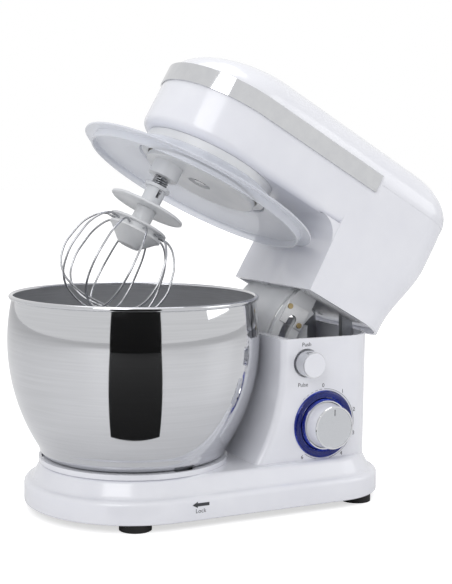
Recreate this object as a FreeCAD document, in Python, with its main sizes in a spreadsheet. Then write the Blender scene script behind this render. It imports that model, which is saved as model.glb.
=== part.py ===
import FreeCAD, Part
import math
import os
import re
import Sketcher
from FreeCAD import Placement, Rotation, Vector

# Tilt-head stand mixer with a planetary whisk, raised head and a steel bowl.
# Design frame while modelling: Z = 0 is the floor, the bowl axis is X = 0, the column is
# towards +X, the controls are on the -Y side, and the head is drawn closed (level).
# Every head piece is then turned about the hinge pin to the raised position, and the whole
# object is shifted along X so that its origin is under the middle of its outline.

doc = FreeCAD.newDocument("StandMixer")
sheet = doc.addObject("Spreadsheet::Sheet", "Sizes")

# ---------------------------------------------------------------- driving dimensions, mm
SIZES = [
    ("origin_shift", 97.7), ("tilt_angle", 29.0), ("wall", 3.0), ("gap", 0.3), ("run_gap", 0.05),
    ("foot_height", 6.5), ("foot_radius", 14.0), ("foot_front", -31.5), ("foot_back", 190.0),
    ("foot_side", 77.0),
    ("base_half", 98.0), ("base_rear", 227.0), ("base_corner", 60.0), ("skirt_top", 27.0),
    ("base_top", 42.0), ("shoulder", 6.5), ("shoulder_slope", 28.0),
    ("skirt_round", 5.0), ("deck_round", 6.0), ("shoulder_hollow", 5.0),
    ("column_front", 111.0), ("column_half", 74.7), ("column_rear", 215.4),
    ("column_corner", 36.0), ("column_top", 153.2), ("sweep_radius", 168.0),
    ("sweep_start", 129.6), ("column_edge", 6.0), ("chamber_front", 119.0),
    ("pivot_x", 205.5), ("pivot_z", 122.0), ("pin_radius", 4.0), ("ear_radius", 6.0),
    ("ear_side", 38.0), ("gland_radius", 7.0), ("gland_bore", 4.2), ("gland_side", 45.0),
    ("gland_z", 20.0),
    ("bowl_arc", 176.0), ("bowl_belly", 112.6), ("bowl_belly_z", 150.0), ("bowl_floor", 47.0),
    ("bowl_wall", 1.0), ("bowl_rim", 191.3), ("lip_radius", 2.1), ("bowl_corner", 9.0),
    ("bowl_space", 3.0), ("foot_ring", 74.5), ("foot_ring_wall", 2.0), ("seat_inner", 77.0),
    ("seat_outer", 85.0), ("tab_half_angle", 5.5), ("tab_reach", 81.0), ("turn_angle", 20.0),
    ("head_half", 68.0), ("head_nose", -71.0), ("head_rear", 233.4), ("head_corner", 36.0),
    ("under_z", 222.5), ("seam_z", 275.0), ("crown_z", 316.0), ("under_round", 8.0),
    ("neck_front", 112.4), ("neck_half", 70.5), ("neck_bottom", 155.5), ("neck_rear", 215.4),
    ("neck_round", 22.0), ("crown_side", 56.0), ("crown_nose", 88.0), ("crown_rear", 56.0),
    ("swell_low", 162.0), ("swell_high", 236.0), ("cover_recess", 5.0),
    ("trim_low", 265.3), ("trim_high", 282.3), ("trim_end", 131.0), ("trim_thick", 1.2),
    ("latch_y", -25.0), ("latch_outer", 84.0), ("latch_inner", 56.0), ("latch_thick", 5.0),
    ("slot_half", 4.4), ("plate_thick", 1.5), ("button_x", 135.6), ("button_z", 130.8),
    ("button_radius", 11.8), ("button_out", 15.0), ("latch_pin_radius", 3.6),
    ("dial_x", 155.0), ("dial_z", 73.6), ("light_outer", 30.6), ("light_inner", 24.4),
    ("skirt_radius", 24.0), ("knob_radius", 19.4), ("knob_out", 19.0),
    ("carrier_radius", 54.0), ("carrier_z", 199.5), ("carrier_thick", 5.0),
    ("ring_housing", 62.0), ("ring_bore", 55.0), ("ring_low", 206.0), ("spindle_radius", 6.0),
    ("planet_teeth", 18), ("ring_teeth", 64), ("planet_module", 1.5), ("boss_radius", 13.7),
    ("boss_low", 186.0), ("tool_radius", 4.0), ("gear_low", 209.0), ("gear_thick", 7.0),
    ("main_teeth", 70), ("pinion_teeth", 14), ("main_module", 1.25), ("main_low", 232.0),
    ("main_thick", 7.0), ("motor_x", 165.0), ("belt_low", 250.0), ("belt_wide", 9.0),
    ("belt_thick", 2.0), ("big_pulley", 38.0), ("small_pulley", 9.0), ("stator_radius", 33.0),
    ("stator_low", 180.0), ("stator_tall", 40.0), ("bearing_radius", 11.0),
    ("bearing_thick", 6.0), ("guard_radius", 113.7), ("guard_z", 195.5), ("guard_wall", 1.6),
    ("guard_lip", 104.4), ("guard_hole", 63.5), ("cap_radius", 34.8), ("cap_z", 154.5),
    ("hub_radius", 27.0), ("hub_z", 136.0), ("cone_low", 117.0), ("wire_radius", 0.9),
    ("whisk_bulge", 50.0), ("whisk_low", 52.0), ("wire_loops", 5),
]

for row, (alias, number) in enumerate(SIZES, start=1):
    sheet.set("A%d" % row, alias)
    sheet.set("B%d" % row, repr(number))
    sheet.setAlias("B%d" % row, alias)
doc.recompute()

ALIASES = [alias for alias, number in SIZES]
WORD = re.compile(r"\b(" + "|".join(sorted(ALIASES, key=len, reverse=True)) + r")\b")


def bound(text):
    """The expression with every alias pointed at the spreadsheet."""
    return WORD.sub(r"Sizes.\1", str(text))


def size(text):
    """The present value of an expression, in plain millimetres or degrees."""
    return float(sheet.evalExpression(bound(text)))


# Lengths that follow from the driving dimensions.
planet_offset = "(planet_module * (ring_teeth - planet_teeth) / 2)"
jack_x = "(main_module * (main_teeth + pinion_teeth) / 2)"
latch_radius = "sqrt((pivot_x - button_x)^2 + (button_z - pivot_z)^2)"
bowl_centre = "(bowl_belly - bowl_arc)"


# ---------------------------------------------------------------- general helpers
def plane(body, role):
    """One of a body's own origin planes."""
    return next(f for f in body.Origin.OriginFeatures if f.Role == role)


def sketch(body, role, name, offset="0"):
    """A sketch on one of a body's own origin planes, lifted along the plane's normal."""
    sk = body.newObject("Sketcher::SketchObject", name)
    sk.AttachmentSupport = (plane(body, role), [""])
    sk.MapMode = "FlatFace"
    sk.setExpression("AttachmentOffset.Base.z", bound(offset))
    return sk


def pin_point(sk, geometry, end, x, y):
    """Holds one end of a line or an arc at expressions x, y."""
    for kind, text in (("DistanceX", x), ("DistanceY", y)):
        index = sk.addConstraint(Sketcher.Constraint(kind, -1, 1, geometry, end, size(text)))
        sk.setExpression("Constraints[%d]" % index, bound(text))


def outline(sk, points):
    """Closed outline. A point is (x, y), or (x, y, radius, side) when the edge that ends there
    is an arc whose centre lies left (side 1) or right (side -1) of its chord."""
    count = len(points)
    for i, point in enumerate(points):
        before = points[i - 1]
        a = Vector(size(before[0]), size(before[1]), 0)
        b = Vector(size(point[0]), size(point[1]), 0)
        if len(point) == 2:
            index = sk.addGeometry(Part.LineSegment(a, b))
            pin_point(sk, index, 2, point[0], point[1])
            continue
        radius = size(point[2])
        chord = b - a
        left = Vector(-chord.y, chord.x, 0).normalize()
        rise = math.sqrt(radius ** 2 - (chord.Length / 2) ** 2)
        centre = (a + b) * 0.5 + left * (rise * point[3])
        circle = Part.Circle(centre, Vector(0, 0, 1), radius)
        start, end = (a, b) if point[3] > 0 else (b, a)
        arc = Part.ArcOfCircle(circle, circle.parameter(start), circle.parameter(end))
        index = sk.addGeometry(arc)
        pin_point(sk, index, 2 if point[3] > 0 else 1, point[0], point[1])
        radius_index = sk.addConstraint(Sketcher.Constraint("Radius", index, radius))
        sk.setExpression("Constraints[%d]" % radius_index, bound(point[2]))
    for i, point in enumerate(points):
        after = points[(i + 1) % count]
        end = 1 if len(point) == 4 and point[3] < 0 else 2
        start = 2 if len(after) == 4 and after[3] < 0 else 1
        sk.addConstraint(Sketcher.Constraint("Coincident", i, end, (i + 1) % count, start))
    doc.recompute()
    return sk


def solve(feature):
    """Recomputes and stops where the newest feature failed."""
    doc.recompute()
    if "Invalid" in feature.State or "Touched" in feature.State:
        raise RuntimeError("%s failed: %s" % (feature.Name, feature.getStatusString()))


def body(name):
    return doc.addObject("PartDesign::Body", name)


def pad(owner, sk, length, middle=False):
    """Pad of a sketch by an expression, or centred on the sketch plane."""
    feature = owner.newObject("PartDesign::Pad", sk.Name + "_pad")
    feature.Profile = sk
    feature.setExpression("Length", bound(length))
    feature.Midplane = middle
    solve(feature)
    return feature


def volume_drop(owner, make):
    """Runs make() and stops if the cut that it adds took nothing away."""
    before = owner.Shape.Volume
    feature = make()
    solve(feature)
    if owner.Shape.Volume > before - 1e-3:
        raise RuntimeError("%s cut nothing" % feature.Name)
    return feature


def pocket(owner, sk, length, middle=False, reverse=False):
    """Pocket of a sketch by an expression; reverse cuts along the plane's normal."""
    def make():
        feature = owner.newObject("PartDesign::Pocket", sk.Name + "_pocket")
        feature.Profile = sk
        feature.setExpression("Length", bound(length))
        feature.Midplane = middle
        feature.Reversed = reverse
        return feature
    return volume_drop(owner, make)


def turn(owner, sk, kind="PartDesign::Revolution", angle="360", middle=False):
    """Revolution or Groove of a sketch about the sketch's own vertical axis."""
    def make():
        feature = owner.newObject(kind, sk.Name + "_turn")
        feature.Profile = sk
        feature.ReferenceAxis = (sk, ["V_Axis"])
        feature.setExpression("Angle", bound(angle))
        feature.Midplane = middle
        solve(feature)
        return feature
    return volume_drop(owner, make) if kind.endswith("Groove") else make()


def round_edges(owner, name, radius, wanted):
    """PartDesign fillet on the edges of the tip for which wanted(edge) is true."""
    tip = owner.Tip
    names = ["Edge%d" % (i + 1) for i, edge in enumerate(tip.Shape.Edges) if wanted(edge)]
    if not names:
        raise RuntimeError("%s found no edge" % name)
    feature = owner.newObject("PartDesign::Fillet", name)
    feature.Base = (tip, names)
    feature.Refine = False
    feature.setExpression("Radius", bound(radius))
    solve(feature)
    return feature


def flat_at(edge, z):
    """True for an edge that lies in the level z."""
    box = edge.BoundBox
    return abs(box.ZMin - z) < 1e-4 and abs(box.ZMax - z) < 1e-4


def cylinder(name, radius, low, height, x="0", y="0", axis="z"):
    """Part cylinder. On axis z it starts at height low; on axis y it starts at y = low and
    the y argument is its height above the floor; on axis x it starts at x."""
    item = doc.addObject("Part::Cylinder", name)
    item.setExpression("Radius", bound(radius))
    item.setExpression("Height", bound(height))
    if axis == "z":
        place = (x, y, low)
    elif axis == "x":
        item.Placement = Placement(Vector(), Rotation(Vector(0, 1, 0), 90))
        place = (x, y, low)
    else:
        item.Placement = Placement(Vector(), Rotation(Vector(1, 0, 0), -90))
        place = (x, low, y)
    for letter, text in zip("xyz", place):
        item.setExpression("Placement.Base." + letter, bound(text))
    return item


def block(name, x, y, z, length, width, height):
    """Part box from its low corner and its three sides."""
    item = doc.addObject("Part::Box", name)
    for key, text in (("Length", length), ("Width", width), ("Height", height)):
        item.setExpression(key, bound(text))
    for letter, text in zip("xyz", (x, y, z)):
        item.setExpression("Placement.Base." + letter, bound(text))
    return item


def cut(name, base, *tools):
    """Base less one or more tools."""
    item = doc.addObject("Part::Cut", name)
    item.Base = base
    item.Tool = tools[0] if len(tools) == 1 else fuse(name + "_tools", *tools)
    return item


def fuse(name, *shapes):
    item = doc.addObject("Part::MultiFuse", name)
    item.Shapes = list(shapes)
    return item


def group(name, *shapes):
    """Separate solids kept side by side in one sub-part."""
    item = doc.addObject("Part::Compound", name)
    item.Links = list(shapes)
    return item


def feature(name, shape):
    """A sub-part whose shape is worked out here from the sheet's sizes."""
    item = doc.addObject("Part::Feature", name)
    item.Shape = shape
    return item


def ring(name, outer, inner, low, height, x="0", y="0", axis="z"):
    """Flat ring or tube."""
    core = cylinder(name + "_bore", inner, low + " - 1", height + " + 2", x, y, axis)
    return cut(name, cylinder(name + "_disc", outer, low, height, x, y, axis), core)


PARTS = []
SHIFT = Placement(Vector(-size("origin_shift"), 0, 0), Rotation())
HINGE = Vector(size("pivot_x"), 0, size("pivot_z"))
RAISED = Placement(Vector(), Rotation(Vector(0, 1, 0), size("tilt_angle")), HINGE)


def keep(item, label, raised=False):
    """Names a finished sub-part and puts it in its place: fixed on the stand, or on the head
    and turned with it about the hinge pin."""
    doc.recompute()
    item.Label = label
    item.Placement = (SHIFT * RAISED if raised else SHIFT) * item.Placement
    PARTS.append(item)
    return item


def wrap(item, label, raised=False):
    """As keep, for a single primitive: the compound round it carries the placement."""
    return keep(group(label + "_one", item), label, raised)


# ---------------------------------------------------------------- base and column
def rounded_rear(nose, half, rear, corner):
    """Plan outline square at x = nose, with rounded corners at x = rear."""
    half, rear, corner = "(%s)" % half, "(%s)" % rear, "(%s)" % corner
    return [(nose, "-" + half), (rear + "-" + corner, "-" + half),
            (rear, corner + "-" + half, corner, 1), (rear, half + "-" + corner),
            (rear + "-" + corner, half, corner, 1), (nose, half)]


def base_slab(owner, name, inset, low, height, slope="0"):
    """One layer of the base: half-round nose, straight sides and rounded rear corners, with
    its sides leaning in by a slope in degrees."""
    half = "(base_half - (%s))" % inset
    side = rounded_rear("0", half, "base_rear - (%s)" % inset, "base_corner - (%s)" % inset)
    side[0] = ("0", "-" + half, half, 1)
    side.append(("-" + half, "0", half, 1))
    slab = pad(owner, outline(sketch(owner, "XY_Plane", name, low), side), height)
    slab.setExpression("TaperAngle", bound("-(%s)" % slope))
    solve(slab)
    return slab


def make_base_body():
    """Outside of the base: a skirt, and a deck set in from it by a rounded shoulder."""
    base = body("BaseBody")
    base_slab(base, "Skirt", "0", "foot_height", "skirt_top - foot_height")
    base_slab(base, "Deck", "shoulder", "skirt_top", "base_top - skirt_top", "shoulder_slope")
    low, skirt, top = size("foot_height"), size("skirt_top"), size("base_top")
    half, rear = size("base_half") - 1.0, size("base_rear") - 1.0

    def outermost(edge):
        """True for an edge on the skirt's own outline, not the deck's."""
        box = edge.BoundBox
        return max(-box.XMin, box.YMax, -box.YMin) > half or box.XMax > rear

    round_edges(base, "ShoulderFoot", "shoulder_hollow", lambda e: flat_at(e, skirt) and not outermost(e))
    round_edges(base, "SkirtRound", "skirt_round", lambda e: flat_at(e, skirt) and outermost(e))
    round_edges(base, "DeckRound", "deck_round", lambda e: flat_at(e, top))
    round_edges(base, "SkirtFoot", "wall / 2", lambda e: flat_at(e, low))
    return base


def make_column_body():
    """Outside of the column: plan outline, concave front sweep, rounded front edges and the
    hollow that clears the bowl. It starts below the deck, inside the base."""
    column = body("ColumnBody")
    plan = rounded_rear("base_half / 2", "column_half", "column_rear", "column_corner")
    pad(column, outline(sketch(column, "XY_Plane", "Column", "skirt_top"), plan), "column_top - skirt_top")
    run = "sqrt(sweep_radius^2 - (sweep_start - skirt_top)^2)"
    front = outline(sketch(column, "XZ_Plane", "ColumnFront"),
                    [("0", "skirt_top"), ("column_front - sweep_radius + " + run, "skirt_top"),
                     ("column_front", "sweep_start", "sweep_radius", 1),
                     ("column_front", "column_top + 1"), ("0", "column_top + 1")])
    pocket(column, front, "3 * column_half", middle=True)
    half = size("column_half")
    limit = size("column_front") + 0.01
    round_edges(column, "ColumnEdges", "column_edge",
                lambda e: abs(abs(e.BoundBox.YMin) - half) < 0.01 and e.BoundBox.YLength < 0.01
                and e.BoundBox.XMax < limit and e.BoundBox.ZLength > 1)
    reach = "sqrt((bowl_arc + bowl_space)^2 - (bowl_belly_z - base_top)^2)"
    space = outline(sketch(column, "XZ_Plane", "BowlSpace"),
                    [("0", "base_top"), (bowl_centre + " + " + reach, "base_top"),
                     ("bowl_belly + bowl_space", "bowl_belly_z", "bowl_arc + bowl_space", 1),
                     ("bowl_belly + bowl_space", "column_top + 1"), ("0", "column_top + 1")])
    turn(column, space, "PartDesign::Groove")
    return column


def make_hollow():
    """Inside of the base and the column, one wall thickness in."""
    hollow = body("ShellHollow")
    base_slab(hollow, "SkirtHollow", "wall", "foot_height - 1", "skirt_top - foot_height - wall + 1")
    base_slab(hollow, "DeckHollow", "shoulder + (base_top - skirt_top) * tan(shoulder_slope) + wall + 2",
              "skirt_top - wall - 1", "base_top - skirt_top + 1")
    chamber = rounded_rear("chamber_front", "column_half - wall", "column_rear - wall",
                           "column_corner - wall")
    pad(hollow, outline(sketch(hollow, "XY_Plane", "Chamber", "skirt_top - wall - 1"), chamber),
        "column_top - skirt_top + 2 * wall")
    return hollow


def at_corners(name, make, front, back, side):
    """Four copies of a small piece, two at each end of the base."""
    items = []
    for end, x in (("F", front), ("B", back)):
        for hand, y in (("L", side), ("R", "-(%s)" % side)):
            items.append(make("%s%s%s" % (name, end, hand), x, y))
    return items


SCREW_SPOTS = ("foot_front + 30", "foot_back - 92", "foot_side - 14")
plate_top = "(foot_height + wall)"


def make_boss(name, x, y):
    """Screw boss that hangs from the deck down to the base plate."""
    return cylinder(name, "4", plate_top, "base_top - wall / 2 - " + plate_top, x, y)


def make_screw_hole(name, x, y):
    """Hole that a base screw fills, through the plate and into its boss."""
    return cylinder(name, "1.6", "foot_height - 1", "wall + 10", x, y)


def make_base_shell():
    """Base and column moulded as one hollow shell, open below and at the column's top, with
    its screw bosses and its openings for the dial, the button and the cord gland."""
    outer = fuse("ShellOutside", make_base_body(), make_column_body())
    dial = cylinder("DialHole", "light_outer + gap", "-column_half - 2", "wall + 4", "dial_x",
                    "dial_z", "y")
    button = cylinder("ButtonHole", "button_radius + 1.2", "-column_half - 2", "wall + 4",
                      "button_x", "button_z", "y")
    gland = cylinder("GlandHole", "gland_radius + gap", "gland_z", "2 * wall + 4", "base_rear - wall - 5",
                     "gland_side", "x")
    shell = cut("ShellWalls", outer, make_hollow(), dial, button, gland)
    bossed = fuse("ShellBossed", shell, *at_corners("Boss", make_boss, *SCREW_SPOTS))
    return cut("BaseShell", bossed, *at_corners("BossHole", make_screw_hole, *SCREW_SPOTS))


keep(make_base_shell(), "base_shell")


# ---------------------------------------------------------------- base fittings
def make_foot(name, x, y):
    """Rubber foot against the underside of the base plate."""
    return cylinder(name, "foot_radius", "0", "foot_height", x, y)


def make_base_plate():
    """Flat bottom cover inside the skirt, drilled for its screws."""
    plate = body("PlateBody")
    base_slab(plate, "PlateOutline", "wall + gap", "foot_height", "wall")
    return cut("BasePlate", plate, *at_corners("PlateHole", make_screw_hole, *SCREW_SPOTS))


keep(group("FeetGroup", *at_corners("Foot", make_foot, "foot_front", "foot_back", "foot_side")),
     "rubber_feet")
keep(make_base_plate(), "base_plate")


def make_base_screw(name, x, y):
    """Self-tapping screw through the base plate: head below, shank up."""
    head = cylinder(name + "Head", "3.5", "foot_height - 2.2", "2.2", x, y)
    shank = cylinder(name + "Shank", "1.6", "foot_height", "wall + 7", x, y)
    return fuse(name, head, shank)


keep(group("BaseScrewGroup", *at_corners("BaseScrew", make_base_screw, *SCREW_SPOTS)), "base_screws")


def seat_cutter(name, middle, sweep, height):
    """Ring-sector cutter for one tab of the bowl, ending just past the tab's locked place."""
    cutter = doc.addObject("Part::Cylinder", name)
    cutter.setExpression("Radius", bound("tab_reach + 1.5"))
    cutter.setExpression("Height", bound(height))
    cutter.setExpression("Angle", bound(sweep))
    start = size("%d - tab_half_angle - turn_angle - 2" % middle)
    cutter.Placement = Placement(Vector(0, 0, size("base_top") + 0.4), Rotation(Vector(0, 0, 1), start))
    return cutter


def make_bowl_seat():
    """Raised ring that takes the bowl: each tab drops through an open slot, then turns under
    the ring's lip."""
    seat = ring("SeatRing", "seat_outer", "seat_inner", "base_top", "4.6")
    cutters = []
    for i in range(3):
        middle = 60 + 120 * i
        cutters.append(seat_cutter("SeatTrack%d" % i, middle, "2 * tab_half_angle + turn_angle + 4", "2.8"))
        cutters.append(seat_cutter("SeatSlot%d" % i, middle, "2 * tab_half_angle + 4", "10"))
    return cut("BowlSeat", seat, *cutters)


keep(make_bowl_seat(), "bowl_seat")


def make_cord_gland():
    """Cord gland through the back of the base: a flanged sleeve with a clear bore."""
    start = "base_rear - wall - 4"
    sleeve = cylinder("GlandSleeve", "gland_radius", "gland_z", "wall + 6.4", start, "gland_side", "x")
    flange = cylinder("GlandFlange", "gland_radius + 2.5", "gland_z", "2.2", start + " + wall + 4.2",
                      "gland_side", "x")
    bore = cylinder("GlandBore", "gland_bore", "gland_z", "30", start + " - 1", "gland_side", "x")
    return cut("CordGland", fuse("GlandBody", sleeve, flange), bore)


keep(make_cord_gland(), "cord_gland")


# ---------------------------------------------------------------- speed control
FACE = "(-column_half)"
guide_plate = "(latch_y - plate_thick - 13)"


def control_ring():
    """Clear light ring set into the side of the column, with its stem behind the wall."""
    return ring("LightRing", "light_outer", "light_inner", FACE + " - 1.6", "wall + 1.6", "dial_x", "dial_z", "y")


def make_rotary_switch():
    """Rotary switch behind the wall with a hollow mounting bush."""
    case = cylinder("SwitchCase", "light_inner - 1", FACE + " + wall", "16", "dial_x", "dial_z", "y")
    bush = cylinder("SwitchBush", "6", FACE + " + 0.4", "wall + 2", "dial_x", "dial_z", "y")
    hole = cylinder("SwitchBore", "3 + run_gap", FACE + " - 5", "20", "dial_x", "dial_z", "y")
    return cut("RotarySwitch", fuse("SwitchSolid", case, bush), hole)


def make_knob(name, base_radius, tip_radius, start, length):
    """Tapered knob section standing out of the column's side."""
    cone = doc.addObject("Part::Cone", name)
    cone.setExpression("Radius1", bound(base_radius))
    cone.setExpression("Radius2", bound(tip_radius))
    cone.setExpression("Height", bound(length))
    cone.Placement = Placement(Vector(), Rotation(Vector(1, 0, 0), 90))
    for letter, text in zip("xyz", ("dial_x", FACE + " - (%s)" % start, "dial_z")):
        cone.setExpression("Placement.Base." + letter, bound(text))
    return cone


keep(control_ring(), "light_ring")
keep(make_rotary_switch(), "rotary_switch")
knob_body = make_knob("KnobBody", "knob_radius + 1.6", "knob_radius", "2", "knob_out - 3.2")
knob_stem = cylinder("KnobStem", "3", FACE + " - 2", "14", "dial_x", "dial_z", "y")
wrap(fuse("KnobSolid", knob_body, knob_stem), "speed_knob")
skirt_ring = make_knob("SkirtCone", "skirt_radius - gap", "skirt_radius - 1.6", "1.2", "4")
skirt_bore = make_knob("SkirtBore", "knob_radius + 1.6 + gap", "knob_radius + 1.6 + gap", "0", "8")
keep(cut("DialSkirt", skirt_ring, skirt_bore), "dial_skirt")
wrap(make_knob("KnobFace", "knob_radius - 0.1", "knob_radius - 0.6", "knob_out - 1.2", "1.2"),
     "knob_face")


def make_board():
    """Speed control board with its largest components, on the far side of the column."""
    board = block("BoardSheet", "125", "column_half - wall - 14", "60", "75", "1.6", "60")
    parts = [block("BoardPart%d" % i, "%d" % (132 + 22 * i), "column_half - wall - 22", "%d" % z, "14", "8", "16")
             for i, z in enumerate((68, 92, 70))]
    posts = [cylinder("BoardPost%d" % i, "3", "column_half - wall - 12.4", "12.4", "%d" % x, "%d" % z, "y")
             for i, (x, z) in enumerate(((130, 65), (130, 115), (170, 65), (170, 115)))]
    return fuse("ControlBoard", board, *(parts + posts))


keep(make_board(), "control_board")


# ---------------------------------------------------------------- head release
def make_button():
    """Release button: chromed cup outside, stem through the guide to the latch pin."""
    cup = cylinder("ButtonCup", "button_radius", FACE + " - button_out + 1.2", "button_out + 6", "button_x",
                   "button_z", "y")
    stem = cylinder("ButtonStem", "3", FACE + " + 6", "latch_y - plate_thick - 6 + column_half - 6",
                    "button_x", "button_z", "y")
    return fuse("PushButton", cup, stem)


def make_button_guide():
    """Guide behind the wall: a sleeve for the button, and a plate on two bars that steadies the
    stem and backs the spring."""
    sleeve = ring("GuideSleeve", "button_radius + 3.2", "button_radius + run_gap", FACE + " + wall", "9",
                  "button_x", "button_z", "y")
    plate = ring("GuidePlate", "button_radius + 3.2", "3 + run_gap", guide_plate, "2", "button_x", "button_z", "y")
    bars = [block("GuideBar%d" % i, "button_x - 3", FACE + " + wall + 9", z, "6",
                  guide_plate + " + column_half - wall - 9", "2.4")
            for i, z in enumerate(("button_z + button_radius + 0.6", "button_z - button_radius - 3"))]
    return fuse("ButtonGuide", sleeve, plate, *bars)


keep(make_button(), "push_button")
keep(make_button_guide(), "button_guide")
wrap(cylinder("ButtonFace", "button_radius - 0.8", FACE + " - button_out", "1.2", "button_x", "button_z", "y"),
     "button_face")
wrap(cylinder("LatchPin", "latch_pin_radius", "latch_y - plate_thick - 6", "plate_thick + latch_thick + 7",
              "button_x", "button_z", "y"), "latch_pin")


def bent_rod(arcs, wire):
    """Round rod along arcs that run on smoothly from one to the next, each turned about its own
    axis from a round section."""
    pieces = []
    for piece in arcs:
        first, last = piece.FirstParameter, piece.LastParameter
        section = Part.makeCircle(wire, piece.value(first), piece.tangent(first)[0])
        face = Part.Face(Part.Wire(section))
        pieces.append(face.revolve(piece.Center, piece.Axis, math.degrees(last - first)))
    return pieces[0].fuse(pieces[1:])


def coil(radius, wire, pitch, halves):
    """Round-wire compression spring along +Z, in half turns that each lie in a tilted plane."""
    arcs = []
    bow = math.hypot(radius, pitch / 4)
    for i in range(halves):
        side = -1 if i % 2 else 1
        low, middle, high = (pitch / 2 * (i + share) for share in (0.0, 0.5, 1.0))
        arcs.append(Part.ArcOfCircle(Vector(side * radius, 0, low), Vector(0, side * bow, middle),
                                     Vector(-side * radius, 0, high)))
    return bent_rod(arcs, wire)


def make_button_spring():
    """Return spring round the button's stem, between the cup and the guide's plate."""
    halves, wire = 10, 0.5
    start = size("-column_half + 7.2") + wire
    run = size(guide_plate) - wire - start
    shape = coil(5.0, wire, 2 * run / halves, halves)
    shape.Placement = Placement(Vector(size("button_x"), start, size("button_z")),
                                Rotation(Vector(1, 0, 0), -90))
    return feature("ButtonSpring", shape)


keep(make_button_spring(), "button_spring")


# ---------------------------------------------------------------- hinge and interlock
def make_hinge_bracket():
    """Two ears standing on the base plate that hold the hinge pin."""
    ears = []
    for i, y in enumerate(("ear_side", "-ear_side - 6")):
        boss = cylinder("EarBoss%d" % i, "ear_radius", y, "6", "pivot_x", "pivot_z", "y")
        post = block("EarPost%d" % i, "pivot_x - ear_radius", y, plate_top, "2 * ear_radius", "6",
                     "pivot_z - " + plate_top)
        ears.append(fuse("Ear%d" % i, boss, post))
    bridge = block("EarBridge", "pivot_x - ear_radius", "-ear_side - 6", plate_top, "2 * ear_radius",
                   "2 * ear_side + 12", "8")
    bore = cylinder("EarBore", "pin_radius", "-ear_side - 20", "2 * ear_side + 40", "pivot_x", "pivot_z", "y")
    return cut("HingeBracket", fuse("BracketSolid", bridge, *ears), bore)


keep(make_hinge_bracket(), "hinge_bracket")
wrap(cylinder("HingePin", "pin_radius", "-ear_side - 8", "2 * ear_side + 16", "pivot_x", "pivot_z", "y"),
     "hinge_pin")


def make_interlock():
    """Safety switch on its post beside the latch sector: the motor only runs with the head
    down on it."""
    y = "latch_y + latch_thick + 0.6"
    case = block("InterlockCase", "152", y, "118", "18", "11", "column_top + 3.6 - 118")
    post = block("InterlockPost", "155", y + " + 1", plate_top, "12", "9", "120 - " + plate_top)
    return fuse("InterlockSwitch", case, post)


keep(make_interlock(), "interlock_switch")


# ---------------------------------------------------------------- bowl
def bowl_profile(inset, low):
    """Half section of the bowl's outline, moved inwards by an inset."""
    reach = "sqrt((bowl_arc - (%s))^2 - (bowl_belly_z - (%s) - bowl_corner)^2)" % (inset, low)
    rim = "sqrt((bowl_arc - (%s))^2 - (bowl_rim - lip_radius - bowl_belly_z)^2)" % inset
    corner = bowl_centre + " + " + reach
    return [("0", low), (corner + " - bowl_corner", low),
            (corner, low + " + bowl_corner", "bowl_corner * 0.95", 1),
            (bowl_centre + " + " + rim, "bowl_rim - lip_radius", "bowl_arc - (%s)" % inset, 1),
            ("0", "bowl_rim - lip_radius")]


def make_bowl():
    """Spun steel bowl with a rolled lip."""
    bowl = body("BowlBody")
    turn(bowl, outline(sketch(bowl, "XZ_Plane", "BowlOuter"), bowl_profile("0", "bowl_floor")))
    inner = bowl_profile("bowl_wall", "bowl_floor + bowl_wall")
    turn(bowl, outline(sketch(bowl, "XZ_Plane", "BowlInner"), inner), "PartDesign::Groove")
    lip = doc.addObject("Part::Torus", "BowlLip")
    lip.setExpression("Radius1", bound(bowl_centre + " + sqrt(bowl_arc^2 - (bowl_rim - lip_radius - bowl_belly_z)^2) + 1"))
    lip.setExpression("Radius2", bound("lip_radius"))
    lip.setExpression("Placement.Base.z", bound("bowl_rim - lip_radius"))
    return fuse("Bowl", bowl, lip)


def make_bowl_foot():
    """Foot ring under the bowl with three bayonet tabs."""
    foot = ring("FootRing", "foot_ring", "foot_ring - foot_ring_wall", "base_top + gap",
                "bowl_floor - base_top - gap")
    tabs = []
    for i in range(3):
        tab = doc.addObject("Part::Cylinder", "FootTab%d" % i)
        tab.setExpression("Radius", bound("tab_reach"))
        tab.Height = 1.8
        tab.setExpression("Angle", bound("2 * tab_half_angle"))
        tab.Placement = Placement(Vector(0, 0, size("base_top") + 1.0),
                                  Rotation(Vector(0, 0, 1), 60 + 120 * i - size("tab_half_angle")))
        tabs.append(tab)
    tab_ring = cut("TabRing", fuse("Tabs", *tabs), cylinder("TabCore", "foot_ring - 1", "base_top", "10"))
    return fuse("BowlFoot", foot, tab_ring)


keep(make_bowl(), "bowl")
keep(make_bowl_foot(), "bowl_foot")


# ---------------------------------------------------------------- head shells
CROWN_STEPS = 9
NECK_STEPS = 10


def head_wire(half, nose, rear, corner, z):
    """Plan outline of the head at one level: round nose, rounded rear corners."""
    middle = nose + half
    diagonal = math.sqrt(0.5)
    a = Vector(middle, -half, z)
    b = Vector(rear - corner, -half, z)
    c = Vector(rear, corner - half, z)
    d = Vector(rear, half - corner, z)
    e = Vector(rear - corner, half, z)
    g = Vector(middle, half, z)
    low = Vector(rear - corner * (1 - diagonal), corner - half - corner * diagonal, z)
    high = Vector(low.x, -low.y, z)
    edges = [Part.makeLine(a, b), Part.Arc(b, low, c).toShape(), Part.makeLine(c, d),
             Part.Arc(d, high, e).toShape(), Part.makeLine(e, g), Part.Arc(g, Vector(nose, 0, z), a).toShape()]
    return Part.Wire(edges)


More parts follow.
